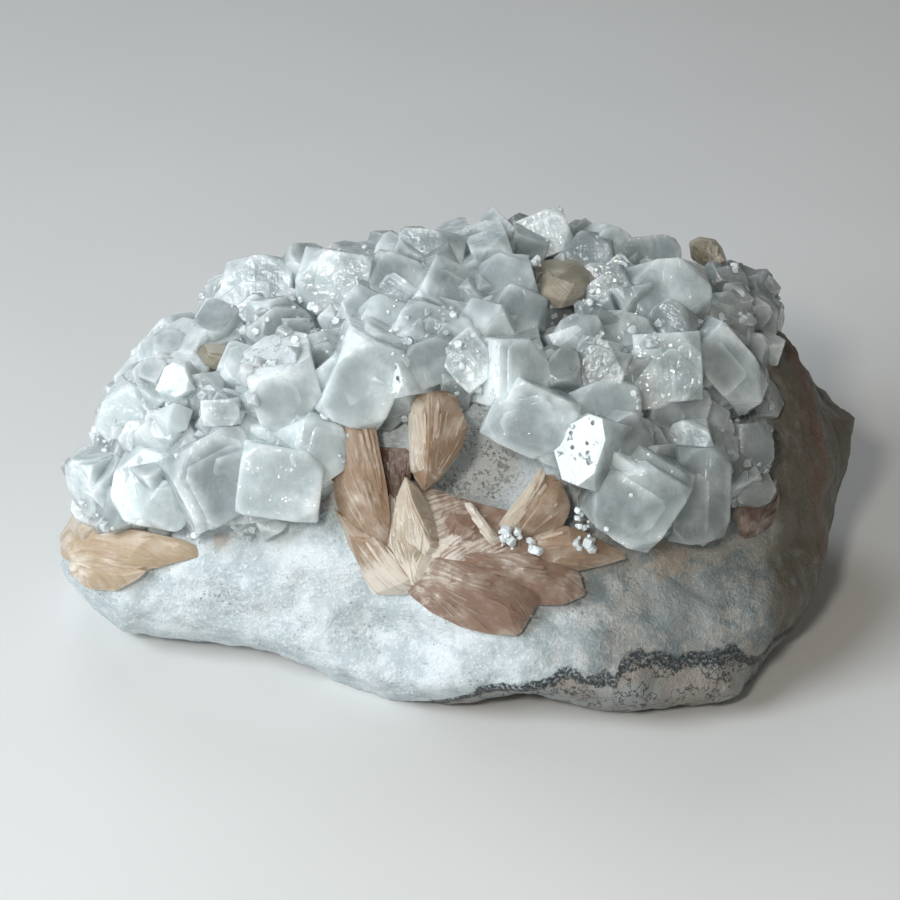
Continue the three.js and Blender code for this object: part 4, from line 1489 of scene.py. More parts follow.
@dataclass
class ApophylliteCrust(Apophyllite):
    """The large crystals that cover the top of the stone, and the blocks between them.

    Attributes:
        plain_below: blocks smaller than this have small cuts.
        root: how deep a block goes into the stone.
        filler_spacing: how far apart the fillers are on the ball about the heart.
        filler_ball: the radius of that ball, and how many times over it is set out.
        filler_clear: how near a large crystal they may stand, in its widths.
        play: how far a large crystal leans off its own direction, in degrees.
        neighbour: crystals nearer than this, in mean widths, have one between them.
        gap_lean: how far that one leans, in degrees.
    """

    plain_below: float = 9.6
    root: float = 3.0
    filler_spacing: float = 11.5
    filler_ball: tuple[float, float] = (38.0, 1.55)
    filler_stretch: float = 1.2
    filler_sizes: tuple[float, float] = (8.0, 10.6)
    filler_rise: float = 2.4
    filler_lean: float = 38.0
    filler_clear: float = 0.62
    filler_seed: int = 20611
    most_steps: int = 2
    play: float = 15.0
    neighbour: float = 1.3
    gap_lean: float = 34.0

    def _steps(
        self, size: Array, at: Array, axes: Array, milk: float, pearl: Side
    ) -> list[BlockForm]:
        """Smaller blocks that grew in line with a large one, proud of its faces.

        Args:
            size: the size of the large one.
            at: its middle.
            axes: its axes.
            milk: how milky it is.
            pearl: its pearly face.

        Returns:
            The blocks.
        """
        made = []
        count = 0 if pearl is Side.FRONT else self.numbers.integers(self.most_steps + 1)
        for number in range(count):
            small = size * self.numbers.uniform(0.6, 0.95, 3)
            spare = (size - small) / 2
            shift = self.numbers.choice([-1, 1], 3) * self.numbers.uniform(0.8, 1.2, 3) * spare
            axis = 2 if number else self.numbers.integers(2)
            sign = 1 if axis == 2 else self.numbers.choice([-1, 1])
            proud = self.numbers.uniform(0.05, 0.2) if axis == 2 else self.numbers.uniform(0.2, 1.1)
            shift[axis] = sign * (spare[axis] + proud)
            made.append(self.block(small, at + axes @ shift, axes, milk, pearl, False))
        return made

    def _grown(self, size: Array, at: Array, axes: Array, pearl: Side) -> list[BlockForm]:
        """A block with the steps that grew on it.

        Args:
            size: its size.
            at: its middle.
            axes: its axes.
            pearl: its pearly face.

        Returns:
            The block and its steps.
        """
        milk = self.milk_at(at)
        plain = max(size[:2]) < self.plain_below
        body = self.block(size, at, axes, milk, pearl, plain)
        return [body, *self._steps(size, at, axes, milk, pearl)]

    def _stand(self, one: Crystal) -> tuple[Array, Array, Array]:
        """Where a large crystal stands.

        Args:
            one: the crystal.

        Returns:
            Its size, its middle and its axes.
        """
        play = self.numbers.uniform(-self.play, self.play, 2) * (one.pearl is Side.NONE)
        axes = self.form.layout.basis @ turn(1, one.right + play[0])
        axes = axes @ turn(0, play[1] - one.upwards) @ turn(2, one.roll)
        depth = one.off + self.root
        face = self.form.place(one.across, one.up, one.off)
        return np.array([one.width, one.height, depth]), face - axes[:, 2] * depth / 2, axes

    def between_crystals(self) -> list[BlockForm]:
        """Lower crystals that grew in the gaps between neighbouring large ones."""
        rows = np.array([(c.across, c.up, c.width, c.height, c.off) for c in CRYSTALS])
        widths = rows[:, 2:4].mean(1)
        pairs = [
            (i, j) for i, j in zip(*np.triu_indices(len(rows), 1))
            if np.hypot(*(rows[i, :2] - rows[j, :2])) < self.neighbour * (widths[i] + widths[j]) / 2
        ]
        first, second = rows[[i for i, _ in pairs]], rows[[j for _, j in pairs]]
        share = self.numbers.uniform(0.35, 0.65, (len(pairs), 1))
        spots = first * share + second * (1 - share)
        off = np.minimum(first[:, 4], second[:, 4]) - self.numbers.uniform(0.6, 2.6, len(pairs))
        faces = self.form.set_out(spots[:, :2], off)
        made = []
        free = self.spares_bud(faces)
        for face, width, height in zip(faces[free], spots[free, 2:4].min(1), off[free]):
            slim = self.numbers.uniform((0.55, 0.55, 1), (0.95, 0.95, 1))
            size = np.array([width, width, height + self.root]) * slim
            lean = self.numbers.uniform(-self.gap_lean, self.gap_lean, 2)
            axes = self.form.layout.basis @ turn(1, lean[0]) @ turn(0, lean[1])
            axes = axes @ turn(2, self.numbers.uniform(0, 90))
            at, milk = face - axes[:, 2] * size[2] / 2, self.milk_at(face)
            made.append(self.block(size, at, axes, milk, Side.NONE, False))
        return made

    def fillers(self, middles: Array, widths: Array) -> list[BlockForm]:
        """The blocks that close the crust between and behind the large crystals.

        Args:
            middles: the middles of the large crystals.
            widths: their widths.

        Returns:
            The blocks.
        """
        chance = number_stream(self.filler_seed)
        radius, times = self.filler_ball
        count = round(4 * math.pi * radius**2 / self.filler_spacing**2 * times)
        order = np.arange(count)
        z = 1 - 2 * (order + 0.5) / count
        ring, angle = np.sqrt(1 - z * z), order * math.pi * (3 - math.sqrt(5))
        spread = np.stack([np.cos(angle) * ring * self.filler_stretch, np.sin(angle) * ring, z], 1)
        surface = self.form.from_heart(unit(spread))
        normals = self.form.normal(surface)
        covered = self.plan.covers(surface, normals, self.filler_sizes[0] / 2.5)
        made = []
        for i in range(count):
            size, squat, lean, lean_turn, roll, off = (next(chance) for _ in range(6))
            at = surface[i] + normals[i] * self.filler_rise * (off - 0.7)
            near = np.linalg.norm(middles - at, axis=1) < widths * self.filler_clear
            if not covered[i] or near.any():
                continue
            width = between(*self.filler_sizes, size)
            swing = turn(2, math.degrees(lean_turn * FULL_TURN))
            axes = turn_from_up(normals[i]) @ swing @ turn(0, self.filler_lean * lean) @ swing.T
            axes = axes @ turn(2, math.degrees(roll * QUARTER_TURN))
            block = np.array([width, width * (0.8 + 0.3 * squat), width])
            made += self._grown(block, at, axes, Side.NONE)
        return made

    def build(self) -> Fused:
        """Makes the crust of large crystals, and hands over its surface."""
        stands = [self._stand(one) for one in CRYSTALS]
        middles = np.array([at for _, at, _ in stands])
        widths = np.array([size[:2].max() for size, _, _ in stands])
        forms = []
        for stand, one in zip(stands, CRYSTALS):
            forms += self._grown(*stand, one.pearl)
        forms += self.between_crystals() + self.fillers(middles, widths)
        surface = Fused(forms)
        hand_over(self.dress(surface, "apophyllite_blocks"), "apophyllite", "apophyllite_crust")
        return surface


@dataclass
class YoungCrystals(Apophyllite):
    """Small crystals seeded on the large ones, most of them in the clefts between.

    Attributes:
        tries: how many rays look for a place.
        sizes: the widths of the crystals.
        cleft: places nearer to the stone than this are in a cleft.
        in_clefts: the share of places in clefts that carry a crystal.
        on_faces: the same for places on open faces.
        sunk: how far they stand in the surface, in widths.
        lean: how far they lean off the surface's direction, in degrees.
        crowded: patches of the layout where both shares are as in clefts.
        cluster_milk: how milky the crystals of the clusters are.
        glints: the share of crystals that stand so that a face catches the light.
        glint_turns: how far such a face is turned to the right and upwards.
    """

    name: str = "apophyllite_young"
    tries: int = 4200
    sizes: tuple[float, float] = (2.0, 5.4)
    cleft: float = 4.2
    in_clefts: float = 0.55
    on_faces: float = 0.012
    sunk: float = 0.3
    lean: float = 56.0
    crowded: tuple[tuple[tuple[float, float], ...], ...] = ((
        (-54, 4), (-48, 14), (-40, 20), (-33, 24), (-24, 22), (-22, 14), (-30, 10), (-33, 4),
        (-44, 2),
    ),)
    clusters: tuple[tuple[float, float, float, float, int], ...] = ()
    cluster_milk: float = 0.85
    glints: float = 0.16
    glint_turns: tuple[float, float] = (-21.0, 9.0)

    def _seeded(self, at: Array, normal: Array, size: float, milk: float) -> BlockForm:
        """A small crystal that leans by chance from the surface.

        Args:
            at: where it stands.
            normal: the outward direction there.
            size: its width.
            milk: how milky it is.

        Returns:
            The crystal.
        """
        swing = turn(2, self.numbers.uniform(0, 360))
        axes = turn_from_up(normal) @ swing @ turn(0, self.numbers.uniform(0, self.lean)) @ swing.T
        if self.numbers.uniform() < self.glints:
            right, upwards = self.glint_turns
            axes = self.form.layout.basis @ turn(1, right) @ turn(0, -upwards)
        axes = axes @ turn(2, self.numbers.uniform(0, 90))
        block = size * self.numbers.uniform((0.8, 0.8, 0.9), (1.1, 1.1, 1.5))
        return self.block(block, at, axes, milk, Side.NONE, True)

    def _clustered(self) -> list[BlockForm]:
        """The crystals of the clusters, which are set out one by one."""
        rows = [row for *row, count in self.clusters for _ in range(count)]
        if not rows:
            return []
        across, up, off, spread = np.array(rows).T
        jitter = self.numbers.normal(size=(len(rows), 2)) * spread[:, None]
        points = self.form.set_out(np.stack([across, up], 1) + jitter, off)
        sizes = between(*self.sizes, self.numbers.uniform(size=len(rows)) ** 1.5)
        towards = self.form.layout.basis[:, 2]
        milk = self.cluster_milk
        return [self._seeded(at, towards, size, milk) for at, size in zip(points, sizes)]

    def _places(self, ground: Fused) -> tuple[Array, Array]:
        """Where rays towards the heart meet the ground.

        Args:
            ground: the surface of the large crystals.

        Returns:
            The points, and the outward directions there.
        """
        directions = unit(self.numbers.normal(size=(self.tries, 3)) * (self.form.stretch, 1, 1))
        directions[:, 2] = np.abs(directions[:, 2]) - 0.25
        heart, tree, reach = np.array(self.form.heart), ground.tree(), self.form.reach
        hits = [
            tree.ray_cast(Vector(heart + way * reach), Vector(-way), reach)[:2]
            for way in unit(directions)
        ]
        met = [(tuple(point), tuple(normal)) for point, normal in hits if point is not None]
        points, normals = np.array(met).transpose(1, 0, 2)
        return points, normals

    def build(self, ground: Fused) -> Fused:
        """Makes the crystals.

        Args:
            ground: the surface that they stand on.

        Returns:
            Their own surface.
        """
        points, normals = self._places(ground)
        places = self.form.layout.shows_at(points)
        in_cleft = self.form.distance(points) < self.cleft
        for patch in self.crowded:
            in_cleft |= edge_distance(places, np.array(patch)) < 0
        share = np.where(in_cleft, self.in_clefts, self.on_faces)
        taken = (self.numbers.uniform(size=len(points)) < share) & self.spares_bud(points)
        sizes = between(*self.sizes, self.numbers.uniform(size=len(points)) ** 2)
        forms = self._clustered() + [
            self._seeded(point - normal * size * self.sunk, normal, size, self.milk_at(point))
            for point, normal, size in zip(points[taken], normals[taken], sizes[taken])
        ]
        surface = Fused(forms)
        hand_over(self.dress(surface, self.name), "apophyllite", "apophyllite_crust")
        return surface


# ---- stilbite


class StilbiteTint(Enum):
    """Colours of the stilbite blades."""

    TAN = Tint(149, 124, 100)
    CREAM = Tint(182, 168, 150)
    DUSKY = Tint(132, 106, 90)
    BROWN = Tint(84, 57, 43)
    ORANGE = Tint(178, 157, 130)
    OLIVE = Tint(138, 131, 112)
    WHITE = Tint(206, 197, 184)


@dataclass(frozen=True)
class Blade:
    """A flat-faced crystal of stilbite, each place across, up and off the stone.

    Attributes:
        rim: the corners of its outline.
        ridge: the places of the arris that its faces rise to.
        root: where it grew from, across and up.
        tint: its colour.
        frayed: how white and split it is towards its root, from 0 to 1.
    """

    rim: tuple[tuple[float, float, float], ...]
    ridge: tuple[tuple[float, float, float], ...]
    root: tuple[float, float]
    tint: StilbiteTint = StilbiteTint.TAN
    frayed: float = 0.5


SHEAF_BLADES = (
    Blade(  # the broad blade on the left
        ((-19.6, 6.4, 4), (-16, 6.8, 4.6), (-12.8, 5.8, 4.6), (-12, 1.2, 4.4), (-11, -3.6, 3.8),
        (-10.4, -8.4, 3), (-10.8, -12.2, 2.2), (-12.6, -13, 1.8), (-16.4, -10.6, 1.6),
        (-18.6, -6.6, 2), (-19.4, -0.4, 3)),
        ((-16.4, 4.6, 5.6), (-15.2, -1.6, 5.2), (-13.2, -8.6, 3.8)), (-10, -17), frayed=0.35,
    ),
    Blade(  # the dark one behind it
        ((-13.6, 1.8, 2), (-7.4, 1.6, 2.6), (-7.3, -2.9, 2), (-9, -4.4, 1.6), (-10.1, -8.6, 1),
        (-12.2, -3, 1.4)),
        ((-10.4, -0.6, 3), (-9.9, -5, 2.2)), (-9, -13), StilbiteTint.BROWN, 0.1,
    ),
    Blade(  # the cream wedge that stands up
        ((-8.4, -2.9, 3), (-6.1, -4.8, 2.6), (-4.5, -7.5, 2.2), (-3.1, -10.8, 1.8),
        (-2.3, -13.2, 1.6), (-4.2, -14.6, 1.6), (-6.5, -16.9, 1.6), (-9.4, -15.6, 1.8),
        (-10.7, -12.2, 2.2), (-10, -8.1, 2.6), (-9.2, -4.8, 3)),
        ((-8, -4, 4.4), (-7.2, -6.8, 5), (-5.6, -10.2, 5), (-4.4, -12.8, 4)), (-6, -16.5),
        StilbiteTint.CREAM, 0.9,
    ),
    Blade(  # the dusky leaf in the middle
        ((-3.4, -9.2, 1.4), (-0.9, -7.5, 2), (1.8, -7.7, 2.2), (3.5, -10.6, 2.4), (3.2, -12.6, 2),
        (0.4, -13.2, 1.6), (-2.6, -13.2, 1.2)),
        ((-0.4, -9.4, 3.4), (2, -10.8, 3.4)), (-2.5, -14), StilbiteTint.DUSKY, 0.7,
    ),
    Blade(  # the pale bevel of the fan
        ((5.8, -9.5, 2.6), (12.2, -1.2, 6.2), (13, -2, 6.4), (12.4, -4, 5.6), (9.2, -10.2, 3.4),
        (8, -11, 3), (6.6, -10.9, 2.6)),
        ((8.6, -7.6, 4.6), (11.6, -3.2, 6.4)), (7, -12), StilbiteTint.CREAM, 0.2,
    ),
    Blade(  # the fan
        ((8, -10.9, 2.6), (12.1, -2.3, 6), (14.2, -2.2, 5.8), (14.7, -5.1, 5.2), (16.6, -6.6, 4.8),
        (16.4, -8.1, 4.2), (15.2, -10.4, 3.4), (11.1, -11.6, 2.8), (8.5, -11.2, 2.4)),
        ((11.4, -6, 5.8), (14, -6.4, 5.8)), (7, -13), StilbiteTint.TAN, 0.1,
    ),
    Blade(  # the leaf that points right
        ((9.6, -13.6, 2.2), (11.1, -10.6, 2.6), (15.8, -9.8, 3.6), (19.4, -11, 3.2),
        (25.4, -14.7, 1.8), (21.8, -15.8, 1.6), (16.5, -17, 1.6), (12.8, -16.4, 1.6)),
        ((12.6, -13, 4), (17.4, -13, 4.4), (22.4, -14.6, 2.8)), (5, -14), StilbiteTint.TAN, 0.4,
    ),
    Blade(  # the dusky blade below it
        ((-1, -13, 1.8), (4, -12.8, 2.2), (10.4, -13.8, 2.6), (15.4, -15.6, 2.4), (18, -17, 2),
        (18.9, -20.3, 1.6), (15.4, -21.8, 1.4), (11.6, -21.8, 1.2), (4, -19.4, 1.4),
        (-0.6, -16.6, 1.6)),
        ((3, -15, 3.6), (9, -16.6, 3.8), (14.6, -18.2, 3.2)), (-5, -14), StilbiteTint.DUSKY, 0.55,
    ),
    Blade(  # the large plate at the bottom
        ((-9, -17.8, 1.2), (-7.4, -20.4, 1.2), (-4.2, -23, 1.2), (0.4, -25.2, 1.2),
        (4.6, -26.2, 1.2), (9, -26.4, 1.4), (12.2, -20.4, 2.2), (9.4, -18.2, 2.6), (3.4, -15, 2.6),
        (-2.2, -13.8, 2.4), (-6.4, -15.2, 2)),
        ((-3.6, -17.6, 3.6), (1.8, -19.2, 4.2), (7.4, -21.6, 3.8)), (-9, -15.6), StilbiteTint.DUSKY,
        0.5,
    ),
)
ROOT_BLADES = (
    Blade(  # the low mass that all of them rise from
        ((-13, -1, 1), (-9, -3.4, 1.4), (-3.4, -8.4, 1.4), (2.4, -7.6, 1.6), (5.6, -10, 1.8),
        (12, -9.8, 2.2), (18, -13, 1.8), (15, -17, 1.4), (9, -18.6, 1.2), (2, -18, 1.2),
        (-7.4, -19, 1), (-12.4, -13.4, 1)),
        ((-8.4, -10, 2.6), (-4, -14.6, 2.8), (4, -13.4, 3), (10.6, -13.6, 3)), (-7, -19),
        StilbiteTint.DUSKY, 1.1,
    ),
    Blade(  # the frayed white root of the left blade
        ((-18.4, -6.6, 1.4), (-16, -9.4, 2), (-12.6, -11.4, 2.4), (-9.6, -14.6, 2.4),
        (-6.8, -17.4, 2.2), (-6.6, -19.4, 1.2), (-8.2, -20.4, 0.6), (-13, -20.2, 0.6),
        (-14.6, -17.4, 0.8), (-17, -12, 0.8)),
        ((-15.4, -11.4, 2.6), (-11.4, -15.8, 2.8), (-8.4, -18.6, 2.4)), (-7, -20), StilbiteTint.TAN,
        1.5,
    ),
    Blade(  # the white root of the wedge
        ((-10.6, -11, 2.4), (-6, -12.4, 2.8), (-3.6, -15, 2.6), (-4.6, -17.8, 2.2),
        (-7.2, -19, 1.6), (-9.4, -16.4, 2)),
        ((-7.6, -13.4, 3.8), (-6.4, -16.4, 3.6)), (-7, -19.6), StilbiteTint.CREAM, 1.5,
    ),
    Blade(  # the cream band that runs to the foot of the fan
        ((0.6, -6.6, 2.2), (1.8, -6.4, 2.4), (4.4, -9.6, 2.4), (6.2, -11.8, 2.4), (4.6, -13, 2.4),
        (2.6, -10.4, 2.4)),
        ((2.6, -8.8, 3.4), (4.6, -11.6, 3.8)), (6, -13), StilbiteTint.WHITE, 0.8,
    ),
)
STILBITES: dict[str, tuple[Blade, ...]] = {
    "stilbite_sheaf": SHEAF_BLADES + ROOT_BLADES,
    "stilbite_upright": (
        Blade(
            ((-7.8, 9.4, 4.6), (-6, 11.6, 5), (-4, 12, 5), (-0.6, 9.8, 4.6), (1.2, 5.1, 4),
            (0.4, 1.8, 3), (-2.6, -3.1, 1.8), (-5.1, -4.4, 1.6), (-7.5, -1.6, 2.2),
            (-6.9, 4.3, 3.6)),
            ((-4.2, 9.6, 7), (-4.3, 2, 6), (-4.6, -2.4, 3.8)), (-4.5, -4.5), StilbiteTint.TAN, 0.35,
        ),
        Blade(
            ((-7.9, 9.6, 4.6), (-5.4, 11.4, 5), (-4.4, 8, 6.4), (-4.7, 2, 5.6), (-5, -3.6, 2.4),
            (-7.6, -1.6, 2.2), (-7.1, 4.3, 3.6)),
            ((-5.4, 7, 6.6), (-5.6, 1, 5.4)), (-4.5, -4.5), StilbiteTint.CREAM, 0.6,
        ),
    ),
    "stilbite_left": (
        Blade(
            ((-57.4, -7.4, 1.4), (-54.2, -9.8, 2.4), (-46.3, -11, 2.6), (-41.8, -12, 1.2),
            (-39.4, -12.9, 0.4), (-40.9, -13.6, 0.6), (-39, -14.6, 0.4), (-41.8, -15, 0.8),
            (-47, -16.6, 1.2), (-54, -17.2, 1.4), (-59.2, -14.2, 1), (-59.4, -10.6, 1.2)),
            ((-55.4, -12.6, 2.6), (-48, -13, 2.8), (-43, -13.6, 1.6)), (-63, -13.4),
            StilbiteTint.ORANGE, 0.45,
        ),
        Blade(
            ((-58.4, -14.6, 1), (-47, -15.8, 1.6), (-48.4, -17.6, 1.2), (-51.4, -19.8, 0.8),
            (-55.9, -19.4, 0.8), (-58.2, -17, 0.8)),
            ((-55, -16.6, 1.8), (-50.4, -17, 1.8)), (-62, -16), StilbiteTint.ORANGE, 0.7,
        ),
        Blade(
            ((-57.8, -6.2, 2.2), (-56.2, -5.8, 2.6), (-54.6, -10, 2.6), (-56, -12.6, 1.6),
            (-58.6, -11.6, 1.2)),
            ((-56.4, -8, 3.4), (-56.4, -11, 2.8)), (-56, -13), StilbiteTint.CREAM, 0.4,
        ),
    ),
    "stilbite_right": (
        Blade(
            ((41.1, -2.9, 1.6), (44.5, -2.2, 2), (47.6, -2.7, 1.6), (48.1, -6.1, 1),
            (47.3, -9.4, 0.8), (44.9, -11.6, 0.6), (42.1, -11.8, 0.6), (40.9, -8.4, 1)),
            ((44, -5, 3), (44.6, -8.6, 2.4)), (42.5, -12.5), StilbiteTint.BROWN, 0.3,
        ),
    ),
    "stilbite_crest": (
        Blade(
            ((34.4, 32.6, 3), (36, 33.4, 3.4), (38.4, 33, 3), (39.4, 31.8, 2.4), (40.4, 29.2, 1.4),
            (37.4, 28.4, 1.4), (34.8, 30, 2.4)),
            ((36.6, 31.6, 5), (38, 30.4, 4)), (38.5, 27.5), StilbiteTint.OLIVE, 0.6,
        ),
    ),
    "stilbite_summit": (
        Blade(
            ((10.7, 27.4, 4), (12.9, 29.9, 4.4), (17.4, 30.4, 4.4), (20.5, 28.9, 4),
            (20.7, 26.1, 4), (18.1, 23.6, 4), (14.4, 22.6, 4), (11.4, 23.8, 4)),
            ((14.4, 27.4, 7), (17.2, 26.4, 7)), (18, 22), StilbiteTint.OLIVE, 0.1,
        ),
    ),
    "stilbite_bud": (
        Blade(
            ((-39.6, 16.3, 4.6), (-38.1, 17.4, 5), (-35.5, 17, 5), (-34.6, 15.1, 4.6),
            (-35.5, 13.3, 4.2), (-38.3, 13.5, 4.2)),
            ((-37.6, 15.6, 6.6), (-36, 15.2, 6.6)), (-41, 14), StilbiteTint.OLIVE, 0.1,
        ),
    ),
}


@dataclass
class BladeForm(Form):
    """One plate of a stilbite blade, whose own +Y runs from its root to its tip."""

    length: float
    tint: StilbiteTint
    frayed: float


@dataclass
class StilbiteSheaf:
    """Blades of stilbite that grew together, each a pile of plates with laths in its face.

    Attributes:
        name: the solid that they stand for.
        sunk: how far off the stone they end below.
        shoulder: where the bend between rim and ridge is, inwards and upwards.
        corner: the share of each side of the outline that its corners lose.
        lath_half: half the width of a lath.
        lath_reach: half its length, in lengths of its blade.
        edge_below: faces that look outwards less than this are edges of the plates.
    """

    name: str
    blades: tuple[Blade, ...]
    form: StoneForm
    finish: bpy.types.Material
    numbers: np.random.Generator
    plates: int = 3
    sunk: float = -1.5
    shoulder: tuple[float, float] = (0.3, 0.42)
    corner: float = 0.1
    laths_per_mm: float = 2.0
    lath_lean: float = 14.0
    lath_half: tuple[float, float] = (0.2, 0.6)
    lath_reach: tuple[float, float] = (0.12, 0.3)
    lath_inset: float = 0.3
    sharp_from: float = 16.0
    edge_below: float = 0.5

    def _axes(self, root: Array, middle: Array) -> Array:
        """The axes of a blade: across, along and out of it.

        Args:
            root: where it grew from.
            middle: its middle.

        Returns:
            The axes, as columns.
        """
        towards = self.form.layout.basis[:, 2]
        along = unit(middle - root)
        flat = unit(towards - along * (towards @ along))
        return np.stack([np.cross(along, flat), along, flat], 1)

    def _lath(self, start: Array, end: Array, half: float, like: BladeForm) -> BladeForm:
        """A thin lath with pointed ends.

        Args:
            start: its foot.
            end: its tip.
            half: half its width.
            like: the blade that it is coloured like.

        Returns:
            The lath.
        """
        lean = self.numbers.uniform(-self.lath_lean, self.lath_lean)
        axes = self._axes(start, end) @ turn(1, lean)
        length = np.linalg.norm(end - start)
        ring = np.array([[-1, 0, -0.8], [1, 0, -0.8], [0.6, 0, 0.75], [-0.6, 0, 0.75]]) * half
        tips = np.array([[0, -length / 2, -0.3 * half], [0, length / 2, -0.3 * half]])
        waist = self.numbers.uniform(0.2, 0.38) * length
        points = np.vstack([ring - (0, waist, 0), ring + (0, waist, 0), tips])
        frayed = like.frayed * self.numbers.uniform(0.4, 1.5)
        return BladeForm(*hull(points), (start + end) / 2, axes, like.length, like.tint, frayed)

    def _laths(self, body: BladeForm, rim: Array, root: Array) -> list[BladeForm]:
        """Laths that lie in the face of a blade and fan out from its root.

        Args:
            body: the blade.
            rim: its outline on the layout.
            root: its root there.

        Returns:
            The laths.
        """
        tree = BVHTree.FromPolygons(body.placed().tolist(), body.faces)
        layout = self.form.layout
        fine = 1 + 3 * body.frayed
        count = int(self.laths_per_mm * fine * math.sqrt(np.prod(np.ptp(rim, axis=0))))
        spread = self.numbers.uniform(rim.min(0), rim.max(0), (count * 8, 2))
        places = spread[edge_distance(spread, rim) < -self.lath_inset][:count]
        out = unit(places - root)
        made = []
        for place, way in zip(places, out):
            reach = self.numbers.uniform(*self.lath_reach) * body.length
            ends = np.array([place - way * reach, place + way * reach])
            ends += self.numbers.uniform(-0.15, 0.15, (2, 2))
            sight = layout.sight(ends)
            hits = [tree.ray_cast(Vector(layout.eye), Vector(ray))[0] for ray in sight]
            if None in hits:
                continue
            lift = -sight * self.numbers.uniform(-0.06, 0.1)
            start, end = np.array([tuple(hit) for hit in hits]) + lift
            end = end + (end - start) * self.numbers.uniform(0, 0.16)
            half = self.numbers.uniform(*self.lath_half) / math.sqrt(fine)
            made.append(self._lath(start, end, half, body))
        return made

    def _blade(self, blade: Blade) -> list[BladeForm]:
        """A blade: its body, thinner plates in line with it, and laths in its face.

        Args:
            blade: how it is set out.

        Returns:
            Its forms.
        """
        rim, ridge = np.array(blade.rim), np.array(blade.ridge)
        step = self.corner * (np.roll(rim, -1, axis=0) - rim)
        rim = np.stack([rim + step, np.roll(rim, -1, axis=0) - step], 1).reshape(-1, 3)
        gaps = np.linalg.norm(rim[:, None, :2] - ridge[None, :, :2], axis=2)
        spine = ridge[gaps.argmin(1)]
        inwards, upwards = self.shoulder
        shoulder = rim + (spine - rim) * (inwards, inwards, upwards)
        shown = np.vstack([rim, shoulder, ridge])
        top = self.form.set_out(shown[:, :2], shown[:, 2])
        middle_place = rim[:, :2].mean(0)
        low = self.form.set_out(middle_place + 0.8 * (rim[:, :2] - middle_place), self.sunk)
        middle = top.mean(0)
        axes = self._axes(self.form.place(*blade.root, rim[:, 2].min()), middle)
        own = (np.vstack([top, low]) - middle) @ axes
        wide, length = np.ptp(own[:, 0]), np.ptp(own[:, 1])
        made = []
        for number in range(self.plates):
            chance = self.numbers.uniform(-1, 1, 6)
            scale = (0.8 + 0.14 * chance[0], 0.96 + 0.05 * chance[1], 1) if number else (1, 1, 1)
            shift = np.array([0.08 * wide * chance[2], 0.05 * length * chance[3], 0.2 * chance[4]])
            points = own * scale @ turn(2, 1.5 * chance[5] * (number > 0)).T + shift * (number > 0)
            made.append(BladeForm(*hull(points), middle, axes, length, blade.tint, blade.frayed))
        return made + self._laths(made[0], rim[:, :2], np.array(blade.root))

    def build(self) -> bpy.types.Object:
        """Makes the sheaf."""
        forms = [form for blade in self.blades for form in self._blade(blade)]
        surface = Fused(forms)
        piece = surface.piece(f"{self.name}_blades")
        piece.data.shade_smooth()
        piece.data.set_sharp_from_angle(angle=math.radians(self.sharp_from))
        owner = surface.owner[surface.face_of_corner]
        local = surface.own_places()
        grown = np.stack([local[:, 0] + local[:, 2] + owner * UV_STEP, local[:, 1]], 1)
        carry_uv(piece, "Growth", grown)
        lengths = np.array([form.length for form in forms])[owner]
        frayed = np.array([form.frayed for form in forms])[owner]
        root = np.clip(0.5 - local[:, 1] / lengths, 0, 1) * frayed
        carry(piece, "root", "FLOAT", "CORNER", root)
        tints = np.array([form.tint.value.linear for form in forms])[owner]
        carry(piece, "tint", "FLOAT_COLOR", "CORNER", tints)
        out = np.abs(surface.own_normals()[:, 2])
        carry(piece, "edge", "FLOAT", "FACE", out < self.edge_below)
        piece.data.materials.append(self.finish)
        return hand_over(piece, "stilbite", self.name)


# ---- studio


@dataclass(frozen=True)
class SoftLight:
    """A soft light: where it stands and how wide it is, in metres, its power and its colour."""

    at: tuple[float, float, float]
    wide: float
    watts: float
    tint: Tint
    aim: tuple[float, float, float] = (0.0, 0.0, 0.02)

    def build(self, name: str) -> None:
        """Hangs the light, turned to the piece.

        Args:
            name: its name.
        """
        lamp = bpy.data.lights.new(name, "AREA")
        lamp.shape, lamp.size, lamp.energy = "DISK", self.wide, self.watts
        lamp.color = self.tint.linear[:3]
        thing = bpy.data.objects.new(name, lamp)
        thing.location = self.at
        towards = Vector(self.aim) - thing.location
        thing.rotation_euler = towards.to_track_quat("-Z", "Y").to_euler()
        bpy.context.scene.collection.objects.link(thing)


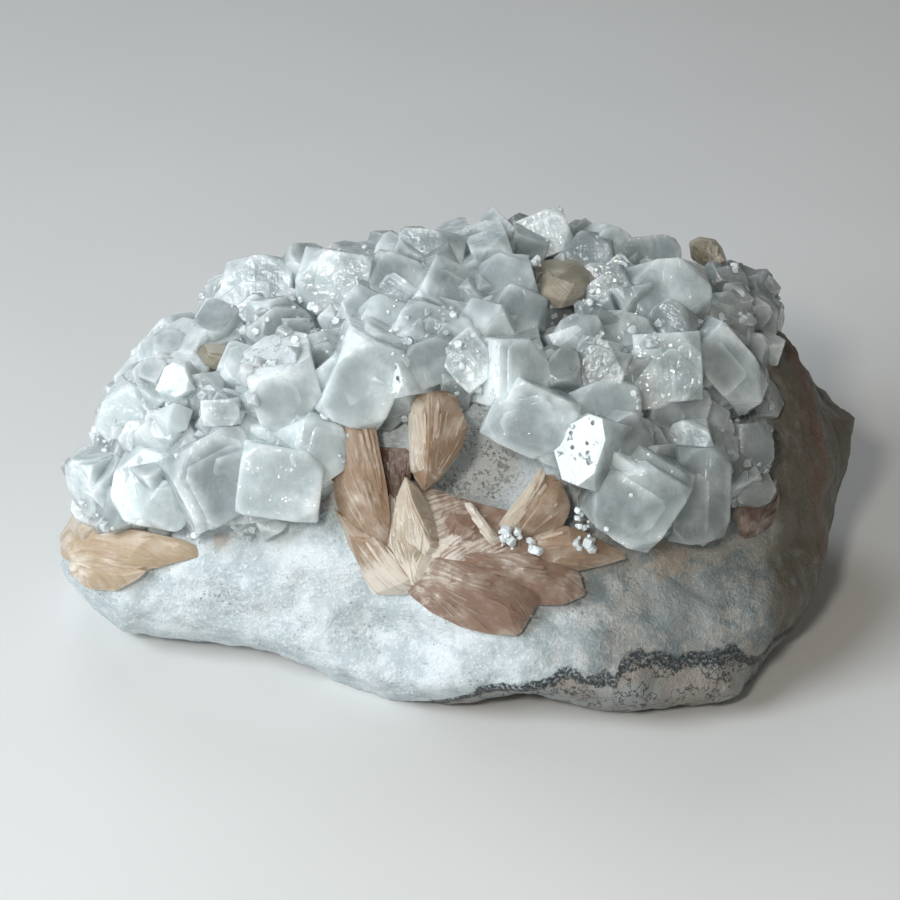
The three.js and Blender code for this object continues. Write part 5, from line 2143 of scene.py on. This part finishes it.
@dataclass(frozen=True)
class Studio:
    """The pale floor, the lights, and the camera, whose field is half as wide as its picture."""

    layout: Layout
    field: float = 67.5
    shifted: tuple[float, float] = (-1.35, 1.35)
    floor_reach: float = 3.0
    floor: Tint = Tint(222, 222, 220)
    floor_shade: Tint = Tint(216, 216, 214)
    floor_cloud: float = 40.0
    sky: Tint = Tint(214, 212, 206)
    sky_strength: float = 0.23
    lights: tuple[SoftLight, ...] = (
        SoftLight((-0.36, -0.26, 0.32), 0.3, 2.45, Tint(238, 247, 255)),
        SoftLight((-0.12, 0.25, 0.42), 0.3, 0.5, Tint(238, 247, 255)),
        SoftLight((-0.10, -0.46, 0.36), 0.06, 1.1, Tint(255, 248, 238)),
    )

    def camera(self) -> None:
        """Sets up the camera at the layout's eye."""
        basis = self.layout.basis
        aim = np.array(self.layout.aim) + basis[:, :2] @ np.array(self.shifted)
        camera = bpy.data.cameras.new("camera")
        camera.angle = 2 * math.atan(self.field / self.layout.eye_distance)
        camera.clip_start, camera.clip_end = 0.01, 20
        thing = bpy.data.objects.new("camera", camera)
        thing.location = (aim + basis[:, 2] * self.layout.eye_distance) * MM
        thing.rotation_euler = Vector(-basis[:, 2]).to_track_quat("-Z", "Y").to_euler()
        bpy.context.scene.collection.objects.link(thing)
        bpy.context.scene.camera = thing

    def _floor(self) -> None:
        """Lays the floor."""
        reach = self.floor_reach / MM
        corners = np.array([[-1, -1, 0], [1, -1, 0], [1, 1, 0], [-1, 1, 0]]) * reach
        thing = new_piece("floor", corners, [[0, 1, 2, 3]])
        g = Graph("floor")
        cloud = g.noise(g.place, self.floor_cloud, 1)
        colour = g.mixed(cloud, self.floor_shade, self.floor)
        sockets = {"Base Color": colour, "Roughness": 0.8}
        thing.data.materials.append(g.finish(g.node("ShaderNodeBsdfPrincipled", {}, sockets)))

    def build(self) -> None:
        """Makes the studio."""
        self._floor()
        for number, light in enumerate(self.lights):
            light.build(f"light_{number}")
        world = bpy.data.worlds.new("sky")
        world.use_nodes = True
        background = world.node_tree.nodes["Background"]
        background.inputs["Color"].default_value = self.sky.linear
        background.inputs["Strength"].default_value = self.sky_strength
        bpy.context.scene.world = world
        bpy.context.scene.view_settings.view_transform = "Standard"
        self.camera()


def main() -> None:
    """Builds the piece and its studio."""
    logging.basicConfig(level=logging.INFO, format="%(message)s")
    layout = Layout()
    form = StoneForm(layout)
    plan = CrustPlan(form)
    Studio(layout).build()
    MatrixStone(form, plan).build()
    apophyllite, numbers = ApophylliteFinish().material(), np.random.default_rng(4177)
    crust = ApophylliteCrust(form, plan, apophyllite, numbers).build()
    YoungCrystals(form, plan, apophyllite, numbers).build(crust)
    druse = ApophylliteFinish(
        name="druse", depth=0.0008, milk=Tint(206, 215, 216), frost=Tint(240, 246, 247)
    ).material()
    YoungCrystals(
        form, plan, druse, numbers, name="apophyllite_druse", tries=8800, sizes=(0.35, 1.3),
        cleft=5.4, in_clefts=0.6, on_faces=0.015, sunk=0.1, clarity=(-0.1, 0.3), glints=0.4,
        crowded=DRUSE_PATCHES, clusters=DRUSE_CLUSTERS,
    ).build(crust)
    stilbite, numbers = StilbiteFinish().material(), np.random.default_rng(907)
    for name, blades in STILBITES.items():
        StilbiteSheaf(name, blades, form, stilbite, numbers).build()


if __name__ == "__main__":
    main()
